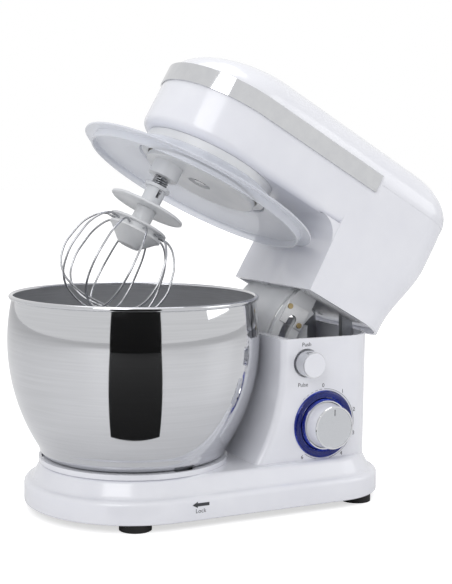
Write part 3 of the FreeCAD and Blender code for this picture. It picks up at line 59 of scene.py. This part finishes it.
# Turns a piece drawn in its own XY plane to stand on the column's side and face -Y.
UPRIGHT = Matrix.Rotation(math.radians(90), 4, "X")


# ---------------------------------------------------------------- camera
def make_camera():
    """Camera on the front left of the mixer, a little above the bowl's rim."""
    azimuth, elevation, roll = math.radians(-27.85), math.radians(5.83), math.radians(0.79)
    back = Vector((math.sin(azimuth) * math.cos(elevation), -math.cos(azimuth) * math.cos(elevation),
                   math.sin(elevation)))
    level = Vector((math.cos(azimuth), math.sin(azimuth), 0))
    up = back.cross(level)
    right = level * math.cos(roll) + up * math.sin(roll)
    top = up * math.cos(roll) - level * math.sin(roll)
    place = Vector((-0.0052, 0, 0.1892)) + back * 1.1484
    data = bpy.data.cameras.new("camera")
    data.sensor_width = 36
    data.lens = 76.16
    data.clip_start = 0.05
    camera = bpy.data.objects.new("camera", data)
    camera.matrix_world = Matrix((right, top, back)).transposed().to_4x4()
    camera.location = place
    bpy.context.scene.collection.objects.link(camera)
    bpy.context.scene.camera = camera


make_camera()
bpy.context.scene.view_settings.view_transform = "Standard"


# ---------------------------------------------------------------- material tools
def linear(code):
    """Hex sRGB colour as linear RGBA."""
    channels = [int(code[i:i + 2], 16) / 255 for i in (1, 3, 5)]
    return [c / 12.92 if c <= 0.04045 else ((c + 0.055) / 1.055) ** 2.4 for c in channels] + [1.0]


def add(tree, kind, settings=None, inputs=None):
    """Adds one node, with its settings and its inputs: a socket is linked, anything else set."""
    item = tree.nodes.new(kind)
    for key, value in (settings or {}).items():
        setattr(item, key, value)
    for key, value in (inputs or {}).items():
        if isinstance(value, bpy.types.NodeSocket):
            tree.links.new(value, item.inputs[key])
        else:
            item.inputs[key].default_value = value
    return item


def new_material(name):
    """Empty node material and its tree."""
    item = bpy.data.materials.new(name)
    item.use_nodes = True
    item.node_tree.nodes.clear()
    return item, item.node_tree


def noise(tree, grain, detail=3.0, stretch=(1, 1, 1)):
    """Noise whose grain is in millimetres, drawn out along an axis by a stretch below one."""
    place = add(tree, "ShaderNodeTexCoord").outputs["Object"]
    scaled = add(tree, "ShaderNodeMapping", inputs={"Vector": place, "Scale": stretch})
    grains = add(tree, "ShaderNodeTexNoise", inputs={
        "Vector": scaled.outputs["Vector"], "Scale": 1.0 / (grain * MM), "Detail": detail})
    return grains.outputs["Fac"]


def spread(tree, source, low, high):
    """A noise value mapped from its usual 0.3 to 0.7 onto low to high."""
    return add(tree, "ShaderNodeMapRange", inputs={"Value": source, "From Min": 0.3, "From Max": 0.7,
                                                   "To Min": low, "To Max": high}).outputs["Result"]


def tint(tree, source, first, second):
    """Colour mixed from two hex colours by a noise value."""
    mix = add(tree, "ShaderNodeMix", {"data_type": "RGBA"}, {"Factor": spread(tree, source, 0.0, 1.0)})
    mix.inputs[6].default_value = linear(first)
    mix.inputs[7].default_value = linear(second)
    return mix.outputs[2]


def relief(tree, source, depth, edge):
    """Normal with a bump of that depth in millimetres, on edges softened by a radius in mm."""
    bump = add(tree, "ShaderNodeBump", inputs={"Height": source, "Strength": 1.0, "Distance": depth * MM})
    if edge:
        rounded = add(tree, "ShaderNodeBevel", {"samples": 4}, {"Radius": edge * MM})
        tree.links.new(rounded.outputs["Normal"], bump.inputs["Normal"])
    return bump.outputs["Normal"]


def surface(tree, shader):
    add(tree, "ShaderNodeOutputMaterial", inputs={"Surface": shader.outputs[0]})


def plastic(name, colour, shade, rough, grain=0.6, depth=0.004, edge=0.5, coat=0.0):
    """Moulded plastic: faint mottling, orange-peel relief and uneven gloss."""
    item, tree = new_material(name)
    fine, wide = noise(tree, grain), noise(tree, 35.0, 2.0)
    surface(tree, add(tree, "ShaderNodeBsdfPrincipled", inputs={
        "Base Color": tint(tree, wide, colour, shade),
        "Roughness": spread(tree, wide, rough * 0.85, rough * 1.2),
        "IOR": 1.54, "Coat Weight": coat, "Coat Roughness": 0.06, "Normal": relief(tree, fine, depth, edge)}))
    return item


def metal(name, colour, shade, rough, stretch=(1, 1, 1), grain=0.5, depth=0.001, edge=0.3,
          spin=0.0, share=1.0):
    """Metal with a drawn-out grain that lightens and scores it, and uneven gloss. The share is
    how metallic it is."""
    item, tree = new_material(name)
    lines, wide = noise(tree, grain, 4.0, stretch), noise(tree, 18.0, 2.0)
    surface(tree, add(tree, "ShaderNodeBsdfPrincipled", inputs={
        "Base Color": tint(tree, lines, colour, shade), "Metallic": share, "Anisotropic": spin,
        "Roughness": spread(tree, wide, rough * 0.8, rough * 1.25),
        "Normal": relief(tree, lines, depth, edge)}))
    return item


def clear(name, colour, rough, grain, depth, emission, glow):
    """Tinted see-through plastic with a little waviness, haze and glow."""
    item, tree = new_material(name)
    wide = noise(tree, grain, 2.0)
    surface(tree, add(tree, "ShaderNodeBsdfPrincipled", inputs={
        "Base Color": linear(colour), "Transmission Weight": 1.0, "IOR": 1.49,
        "Roughness": spread(tree, wide, rough * 0.6, rough * 1.5), "Emission Color": linear(glow),
        "Emission Strength": emission, "Normal": relief(tree, wide, depth, 0.3)}))
    return item


def frosted(name, colour, rough, share):
    """Milky see-through plastic: a share of the light passes straight, less at a glancing angle."""
    item, tree = new_material(name)
    wide = noise(tree, 6.0, 2.0)
    normal = relief(tree, wide, 0.003, 0.0)
    body = add(tree, "ShaderNodeBsdfPrincipled", inputs={
        "Base Color": linear(colour), "Roughness": spread(tree, wide, rough * 0.8, rough * 1.3), "IOR": 1.5,
        "Normal": normal})
    passing = add(tree, "ShaderNodeBsdfTransparent", inputs={"Color": linear("#F7F8FB")})
    facing = add(tree, "ShaderNodeLayerWeight", inputs={"Blend": 0.35}).outputs["Facing"]
    factor = add(tree, "ShaderNodeMapRange", inputs={"Value": facing, "To Min": 1.0 - share, "To Max": 0.92})
    surface(tree, add(tree, "ShaderNodeMixShader", inputs={
        0: factor.outputs["Result"], 1: passing.outputs[0], 2: body.outputs[0]}))
    return item


# ---------------------------------------------------------------- materials
# Gloss white ABS of the shells.
white_gloss = plastic("white_abs_gloss", "#EDEEF4", "#E8E9F0", 0.18, 0.9, 0.002, 0.8, 0.25)
# Satin white ABS of the inner mouldings and the whisk's hub.
white_satin = plastic("white_abs_satin", "#E8E9EB", "#E0E2E5", 0.38, 0.5, 0.006)
# Dark grey glass-filled plastic of the bottom cover.
grey_plastic = plastic("grey_polypropylene", "#55575B", "#4A4C50", 0.55, 0.4, 0.01)
# Black plastic of the switch, the fan and the gland.
black_plastic = plastic("black_nylon", "#17181A", "#101113", 0.45, 0.4, 0.01)
# Natural nylon of the gears.
nylon = plastic("natural_nylon", "#DAD5C6", "#CFC9B8", 0.42, 0.5, 0.008)
# Rubber of the feet and the belt.
rubber = plastic("black_rubber", "#151515", "#0E0E0F", 0.75, 0.35, 0.02)
# Printed circuit board lacquer.
board = plastic("circuit_board", "#1F5A34", "#184A2A", 0.35, 0.8, 0.01)
# Grey ink of the lettering.
ink = plastic("print_ink", "#3A3C40", "#2E3034", 0.5, 0.3, 0.001)
# Mirror-polished stainless steel, spun: faint rings run round the bowl.
bowl_steel = metal("spun_steel_mirror", "#D2D3D6", "#CBCCCF", 0.045, (0.02, 0.02, 1.0), 1.6, 0.00012, 0.0)
# The same steel, brushed round inside the bowl.
bowl_inside = metal("spun_steel_brushed", "#C6C7CA", "#B6B7BA", 0.36, (0.02, 0.02, 1.0), 0.7, 0.003, 0.0,
                    0.3, 0.55)
# Drawn stainless wire of the whisk.
wire_steel = metal("drawn_steel_wire", "#C6C7CA", "#B4B5B9", 0.12, (1, 1, 1), 0.6, 0.001)
# Bright chrome plating.
chrome = metal("bright_chrome", "#DADBDD", "#D4D5D8", 0.05, (1, 1, 1), 9.0, 0.0, 0.0)
# Zinc-plated and machined steel.
plain_steel = metal("zinc_plated_steel", "#B9BABD", "#A4A5A9", 0.28, (1, 1, 0.2), 0.5, 0.004)
# Bright nickel-plated sheet of the latch plate.
plate_steel = metal("nickel_plated_sheet", "#E6E7E8", "#DADBDD", 0.34, (0.2, 1, 1), 0.5, 0.003)
# Yellow-passivated screws in the latch plate.
screw_steel = metal("yellow_passivated_steel", "#C9B68C", "#B29C6C", 0.32, (1, 1, 1), 0.5, 0.004)
# Cast aluminium alloy.
cast_alloy = metal("cast_aluminium", "#B4B6B9", "#A5A7AB", 0.42, (1, 1, 1), 0.7, 0.015)
# Laminated core iron, lines across the motor's axis.
iron = metal("laminated_iron", "#6A6B6E", "#4C4D50", 0.5, (0.05, 0.05, 1.0), 0.8, 0.02)
# Sintered bronze of the plain bearings.
bronze = metal("sintered_bronze", "#A67C45", "#8C6636", 0.45, (1, 1, 1), 0.4, 0.01)
# Silver-lacquered and circularly brushed knob face.
knob_metal = metal("knob_face_alloy", "#D5D7DA", "#C2C4C8", 0.2, (1, 0.02, 1), 0.6, 0.003, 0.4, 0.6)
# Frosted polycarbonate of the splash guard.
guard_clear = frosted("frosted_polycarbonate", "#EEF0F5", 0.2, 0.68)
# Blue light pipe round the dial.
light_blue = clear("blue_light_pipe", "#3350C8", 0.16, 2.5, 0.01, 0.1, "#2038B8")

NODE_MATERIALS = {
    "base_shell": white_gloss, "bowl_seat": white_gloss, "head_upper_cover": white_gloss,
    "head_lower_housing": white_gloss, "speed_knob": white_gloss, "button_face": white_gloss,
    "base_plate": grey_plastic, "rubber_feet": rubber, "drive_belt": rubber, "cord_gland": black_plastic,
    "rotary_switch": black_plastic, "motor_bracket": black_plastic, "motor_fan": black_plastic,
    "carbon_brushes": black_plastic, "control_board": board, "light_ring": light_blue,
    "splash_guard": guard_clear, "knob_face": knob_metal, "dial_skirt": chrome, "push_button": chrome,
    "chrome_trim": chrome, "button_guide": white_satin, "interlock_switch": white_satin,
    "neck_bottom_cover": white_satin, "latch_sector": white_satin, "ring_housing": white_satin,
    "planet_carrier": white_satin, "splash_cap": white_satin, "whisk_hub": white_satin,
    "bowl": bowl_steel, "bowl_foot": plain_steel, "whisk_wires": wire_steel, "whisk_collar": white_satin,
    "tool_shaft": plain_steel, "tool_spring": plain_steel, "cross_pin": plain_steel,
    "latch_plate": plate_steel, "latch_plate_screws": screw_steel, "latch_pin": plain_steel,
    "button_spring": plain_steel, "hinge_bracket": plain_steel, "hinge_pin": plain_steel,
    "base_screws": plain_steel, "cover_screws": plain_steel, "carrier_screw": plain_steel,
    "main_spindle": plain_steel, "jackshaft": plain_steel, "jackshaft_pinion": plain_steel,
    "planet_pinion": plain_steel, "gear_plate": plain_steel, "shaft_bearings": plain_steel,
    "hinge_carrier": cast_alloy, "motor_pulley": cast_alloy, "motor_stator": iron, "motor_rotor": iron,
    "hinge_bushes": bronze, "motor_bearings": bronze, "large_pulley": nylon, "main_gear": nylon,
    "ring_gear": nylon,
}


def smooth(item, angle=32.0):
    """Smooth shading, kept sharp at edges over an angle."""
    for face in item.data.polygons:
        face.use_smooth = True
    weld = item.modifiers.new("weld", "WELD")
    weld.merge_threshold = 0.000002
    split = item.modifiers.new("creases", "EDGE_SPLIT")
    split.split_angle = math.radians(angle)


for node_name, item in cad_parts.items():
    item.data.materials.clear()
    item.data.materials.append(NODE_MATERIALS[node_name])
    smooth(item)


# ---------------------------------------------------------------- piece tools
def finish_piece(item, body, place, replaced=()):
    """Links a piece, puts it in place, and lets it ride on its body."""
    if item.name not in bpy.context.scene.collection.objects:
        bpy.context.scene.collection.objects.link(item)
    item.matrix_world = place
    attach(item, body)
    if replaced:
        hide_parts(*replaced)
    return item


def from_bmesh(name, mesh, materials):
    """Object from a bmesh, with its materials."""
    bmesh.ops.remove_doubles(mesh, verts=mesh.verts, dist=1e-7)
    bmesh.ops.recalc_face_normals(mesh, faces=mesh.faces)
    data = bpy.data.meshes.new(name)
    mesh.to_mesh(data)
    mesh.free()
    for entry in materials:
        data.materials.append(entry)
    return bpy.data.objects.new(name, data)


def lathe(name, profile, materials, steps=160, bevel=0.0, closed=True):
    """Piece turned about its own Z from (radius, height[, material index]) points in mm."""
    mesh = bmesh.new()
    rings = []
    for point in profile:
        ring = []
        for i in range(steps):
            angle = 2 * math.pi * i / steps
            across, along = point[0] * MM * math.cos(angle), point[0] * MM * math.sin(angle)
            ring.append(mesh.verts.new((across, along, point[1] * MM)))
        rings.append(ring)
    pairs = list(zip(rings, rings[1:]))
    if closed:
        pairs.append((rings[-1], rings[0]))
    for k, (first, second) in enumerate(pairs):
        source = profile[k]
        for i in range(steps):
            j = (i + 1) % steps
            face = mesh.faces.new((first[i], first[j], second[j], second[i]))
            face.smooth = True
            face.material_index = source[2] if len(source) > 2 else 0
    bmesh.ops.dissolve_degenerate(mesh, dist=1e-7, edges=mesh.edges)
    item = from_bmesh(name, mesh, materials)
    if bevel:
        soften(item, bevel)
    else:
        smooth(item, 35.0)
    return item


def soften(item, width, segments=3):
    """Rounded edges by a bevel in mm, shaded smooth."""
    for face in item.data.polygons:
        face.use_smooth = True
    bevel = item.modifiers.new("bevel", "BEVEL")
    bevel.width = width * MM
    bevel.segments = segments
    bevel.limit_method = "ANGLE"
    bevel.angle_limit = math.radians(30)
    bevel.harden_normals = True


def arc(x, z, radius, start, end, count):
    """Points on an arc, from one angle to another in degrees."""
    angles = [math.radians(start + (end - start) * i / count) for i in range(count + 1)]
    return [(x + radius * math.cos(angle), z + radius * math.sin(angle)) for angle in angles]


def wire(name, points, radius, material):
    """Round wire along smooth points in mm."""
    data = bpy.data.curves.new(name, "CURVE")
    data.dimensions = "3D"
    data.bevel_depth = radius * MM
    data.bevel_resolution = 5
    data.resolution_u = 12
    data.use_fill_caps = True
    spline = data.splines.new("BEZIER")
    spline.bezier_points.add(len(points) - 1)
    for knot, point in zip(spline.bezier_points, points):
        knot.co = Vector(point) * MM
        knot.handle_left_type = knot.handle_right_type = "AUTO"
    data.materials.append(material)
    return bpy.data.objects.new(name, data)


def lettering(name, text, height, material):
    """Flat lettering, centred on its own origin, a hair thick."""
    data = bpy.data.curves.new(name, "FONT")
    data.body = text
    data.size = height * MM / 0.7
    data.align_x = "CENTER"
    data.align_y = "CENTER"
    data.extrude = 0.00003
    data.materials.append(material)
    return bpy.data.objects.new(name, data)


def prism(name, outline, low, high, materials, bevel=0.0):
    """Solid between two levels of one outline in mm."""
    mesh = bmesh.new()
    bottom = [mesh.verts.new((x * MM, y * MM, low * MM)) for x, y in outline]
    top = [mesh.verts.new((x * MM, y * MM, high * MM)) for x, y in outline]
    mesh.faces.new(bottom[::-1])
    mesh.faces.new(top)
    for i in range(len(outline)):
        j = (i + 1) % len(outline)
        mesh.faces.new((bottom[i], bottom[j], top[j], top[i]))
    item = from_bmesh(name, mesh, materials)
    if bevel:
        soften(item, bevel)
    return item


# ---------------------------------------------------------------- bowl
def make_bowl():
    """Spun bowl with a rolled lip: mirror outside, brushed inside."""
    centre, belly, bend, wall, steps = -63.4, 150.0, 176.0, 1.0, 44

    def side(radius, start, end):
        """Points on the bowl's side, between two heights above its belly."""
        first, last = math.degrees(math.asin(start / radius)), math.degrees(math.asin(end / radius))
        return arc(centre, belly, radius, first, last, steps)

    outer = side(bend, -94.0, 37.2)
    lip = arc(109.2, 189.2, 2.1, -118, 180, 18)
    inner = side(bend - wall, 39.0, -93.0)
    profile = [(0, 47.0), (76.4, 47.0), (79.5, 47.6), (82.2, 49.4), (84.2, 52.0)] + outer + lip
    profile = [(x, z, 0) for x, z in profile]
    inner += [(83.4, 53.2), (81.5, 50.6), (78.9, 48.7), (75.6, 48.0), (0, 48.0)]
    profile += [(x, z, 1) for x, z in inner]
    item = lathe("bowl_spun", profile, [bowl_steel, bowl_inside], 256, closed=False)
    return finish_piece(item, "mixing_bowl", STAND, ["bowl"])


make_bowl()


# ---------------------------------------------------------------- whisk
def make_whisk():
    """Five wire loops, the moulded hub and the dished cap."""
    for i in range(5):
        low = 52.0 + 2.2 * i
        half = [(21.4, 134.5), (26.0, 134.8), (30.0, 134.9), (42.0, 124.5), (49.0, 104.5),
                (50.0, low + 30.0), (43.0, low + 12.5), (25.0, low + 2.4)]
        points = [(x, 0, z) for x, z in half] + [(0, 0, low)] + [(-x, 0, z) for x, z in reversed(half)]
        loop = wire("whisk_wire_%d" % (i + 1), points, 0.95, wire_steel)
        turn = Matrix.Rotation(math.radians(36.0 * i + 9.0), 4, "Z")
        finish_piece(loop, "whisk", TOOL @ turn, ["whisk_wires"])
    profile = [(0, 117), (9.5, 117), (11.0, 118.2), (22.6, 129.2), (24.5, 130.2), (24.5, 132.2),
               (21.2, 132.6), (21.2, 136.6), (26.4, 136.9), (27.0, 137.6), (27.0, 138.6), (26.2, 139.2),
               (12.0, 139.4), (9.6, 141.0), (9.2, 143.5), (9.2, 154.4), (0, 154.4)]
    hub = lathe("whisk_hub_moulded", profile, [white_satin], 96, closed=False)
    finish_piece(hub, "whisk", TOOL, ["whisk_hub"])
    cap = [(9.4, 154.5), (27.0, 154.5), (31.5, 153.9), (33.4, 153.5), (34.8, 154.3), (34.7, 156.0),
           (33.6, 156.5), (32.4, 155.6), (29.5, 156.2), (24.0, 156.5), (9.4, 156.5)]
    dish = lathe("splash_cap_moulded", cap, [white_satin], 128)
    finish_piece(dish, "whisk", TOOL, ["splash_cap"])


make_whisk()


def make_spring():
    """Round-wire compression spring above the whisk's collar, drawn at its rest length."""
    turns, low, high = 3.6, 177.8, 185.3
    points = []
    for i in range(int(turns * 12) + 1):
        share = i / (turns * 12)
        angle = 2 * math.pi * turns * share
        points.append((6.6 * math.cos(angle), 6.6 * math.sin(angle), low + (high - low) * share))
    item = wire("tool_spring_coil", points, 0.8, plain_steel)
    finish_piece(item, "tool_spindle", TOOL, ["tool_spring"])


make_spring()


# ---------------------------------------------------------------- dial, button and lettering
def on_side(x, z, out=0.0):
    """Place on the column's control side, out from it by some mm, facing -Y."""
    return STAND @ placed(x, FACE_Y - out, z) @ UPRIGHT


def arc_line(name, start, end, radius, width):
    """Thin printed arc, clockwise from the top, angles in degrees."""
    count = max(2, int((end - start) / 3))
    outline = arc(0, 0, radius + width / 2, 90 - start, 90 - end, count)
    outline += arc(0, 0, radius - width / 2, 90 - end, 90 - start, count)
    mesh = bmesh.new()
    for level in (0.0, 0.05):
        rows = [mesh.verts.new((x * MM, y * MM, level * MM)) for x, y in outline]
        for i in range(count):
            mesh.faces.new((rows[i], rows[i + 1], rows[-i - 2], rows[-i - 1]))
    return from_bmesh(name, mesh, [ink])


def make_dial():
    """Light pipe lens, knob rim, pointer, numbers and the printed scale with its pulse dashes."""
    centre = on_side(DIAL_X, DIAL_Z)
    section = [(24.5, -2.9), (30.5, -2.9), (30.5, 1.2), (29.8, 2.1), (28.2, 2.7), (25.8, 2.2), (24.5, 1.2)]
    lens = lathe("light_ring_lens", section, [light_blue], 128)
    finish_piece(lens, "stand", centre, ["light_ring"])
    line = [(-0.4, 11.0), (0.4, 11.0), (0.4, 16.6), (-0.4, 16.6)]
    mark = prism("knob_pointer", line, 18.9, 19.15, [ink], 0.1)
    finish_piece(mark, "speed_dial", centre)
    section = [(17.6, 18.3), (19.35, 18.0), (19.6, 18.8), (19.2, 19.35), (18.0, 19.35)]
    rim = lathe("knob_rim", section, [chrome], 128)
    finish_piece(rim, "speed_dial", centre)
    # The numbers stand a millimetre towards the bowl from the knob's own centre.
    number_x, number_radius, step = DIAL_X - 1.0, 35.6, 36.0
    for i in range(7):
        angle = math.radians(step * i)
        number = lettering("dial_number_%d" % i, str(i), WORD_HEIGHT, ink)
        across, up = number_radius * math.sin(angle), number_radius * math.cos(angle)
        finish_piece(number, "stand", on_side(number_x + across, DIAL_Z + up, 0.05))
    radius, width = 32.4, 0.3
    printed = on_side(DIAL_X, DIAL_Z, 0.02)
    finish_piece(arc_line("dial_scale", 0.0, 216.0, radius, width), "stand", printed)
    for i in range(5):
        start = -43.0 + 8.6 * i
        dash = arc_line("dial_pulse_%d" % i, start, start + 5.0, radius, width)
        finish_piece(dash, "stand", printed)


make_dial()


def make_labels():
    """Printed words beside the controls, and the arrow for the bowl's lock."""
    spots = (("label_release", "Push", 135.6, 147.5), ("label_pulse", "Pulse", 132.5, 111.0))
    for name, text, x, z in spots:
        word = lettering(name, text, WORD_HEIGHT, ink)
        finish_piece(word, "stand", on_side(x, z, 0.05))
    side = STAND @ placed(19.6, -98.05, 15.0) @ UPRIGHT
    finish_piece(lettering("label_lock", "Lock", WORD_HEIGHT, ink), "stand", side)
    arrow = [(-8.0, 5.5), (-3.0, 8.2), (-3.0, 6.9), (8.0, 6.9), (8.0, 4.1), (-3.0, 4.1), (-3.0, 2.8)]
    finish_piece(prism("label_arrow", arrow, 0.0, 0.06, [ink]), "stand", side)


make_labels()


# ---------------------------------------------------------------- studio
def stage_mesh(mesh, name, material):
    """Studio piece from a bmesh, linked and kept out of the model."""
    item = from_bmesh(name, mesh, [material])
    bpy.context.scene.collection.objects.link(item)
    return item


def make_floor():
    """Pale floor that shows almost white to the camera, so that it runs into the background."""
    material, tree = new_material("studio_floor")
    seen = add(tree, "ShaderNodeLightPath").outputs["Is Camera Ray"]
    pale = tint(tree, noise(tree, 400.0, 2.0), "#E9E9EA", "#E6E6E7")
    glow = add(tree, "ShaderNodeMapRange", inputs={"Value": seen, "To Min": 0.05, "To Max": 0.62})
    surface(tree, add(tree, "ShaderNodeBsdfPrincipled", inputs={
        "Base Color": pale, "Roughness": 0.5, "IOR": 1.45, "Emission Color": linear("#FFFFFF"),
        "Emission Strength": glow.outputs["Result"]}))
    mesh = bmesh.new()
    bmesh.ops.create_grid(mesh, x_segments=1, y_segments=1, size=12.0)
    stage_mesh(mesh, "studio_floor", material).location = (0, 0, -0.0002)


def make_surroundings():
    """White surroundings: full to the camera, dimmer in reflections, dimmer still as light."""
    world = bpy.data.worlds.new("studio")
    world.use_nodes = True
    bpy.context.scene.world = world
    tree = world.node_tree
    path = add(tree, "ShaderNodeLightPath")
    mirrored = add(tree, "ShaderNodeMapRange", inputs={
        "Value": path.outputs["Is Glossy Ray"], "To Min": 0.58, "To Max": 0.86})
    power = add(tree, "ShaderNodeMath", {"operation": "MAXIMUM"}, {
        0: mirrored.outputs["Result"], 1: path.outputs["Is Camera Ray"]})
    tree.links.new(power.outputs[0], tree.nodes["Background"].inputs["Strength"])
    tree.nodes["Background"].inputs["Color"].default_value = (1.0, 1.0, 1.0, 1.0)


def make_lamps():
    """Three square soft lights: place and side in metres, power in watts."""
    target = Vector((0, 0, 0.2))
    lamps = (("key", (-1.6, -1.5, 1.5), 1.3, 17.0), ("fill", (1.9, -1.2, 1.1), 1.2, 7.0),
             ("top", (0.0, 0.3, 2.2), 1.6, 16.0))
    for name, place, side, energy in lamps:
        data = bpy.data.lights.new(name, "AREA")
        data.shape = "SQUARE"
        data.size = side
        data.energy = energy
        lamp = bpy.data.objects.new(name, data)
        lamp.location = place
        lamp.rotation_euler = (target - Vector(place)).to_track_quat("-Z", "Y").to_euler()
        bpy.context.scene.collection.objects.link(lamp)


def make_flags():
    """Black cloths, an upright one and a wedge on the floor, that only the polished pieces
    mirror. They are drawn in metres in front of the bowl's axis."""
    material, tree = new_material("studio_flag_cloth")
    surface(tree, add(tree, "ShaderNodeBsdfPrincipled", inputs={
        "Base Color": linear("#050505"), "Roughness": 1.0}))
    aim = STAND @ Matrix.Rotation(math.radians(-22.3), 4, "Z")
    far, half, top = -1.5, 0.6, 0.75
    near, near_half, lift = -0.14, 0.05, 0.004
    upright = [(-half, far, 0.0), (half, far, 0.0), (half, far, top), (-half, far, top)]
    wedge = [(-near_half, near, lift), (near_half, near, lift), (half, far, lift), (-half, far, lift)]
    for name, outline in (("studio_flag", upright), ("studio_flag_low", wedge)):
        mesh = bmesh.new()
        mesh.faces.new([mesh.verts.new(corner) for corner in outline])
        flag = stage_mesh(mesh, name, material)
        flag.matrix_world = aim
        flag.visible_camera = False
        flag.visible_diffuse = False
        flag.visible_shadow = False


make_floor()
make_surroundings()
make_lamps()
make_flags()
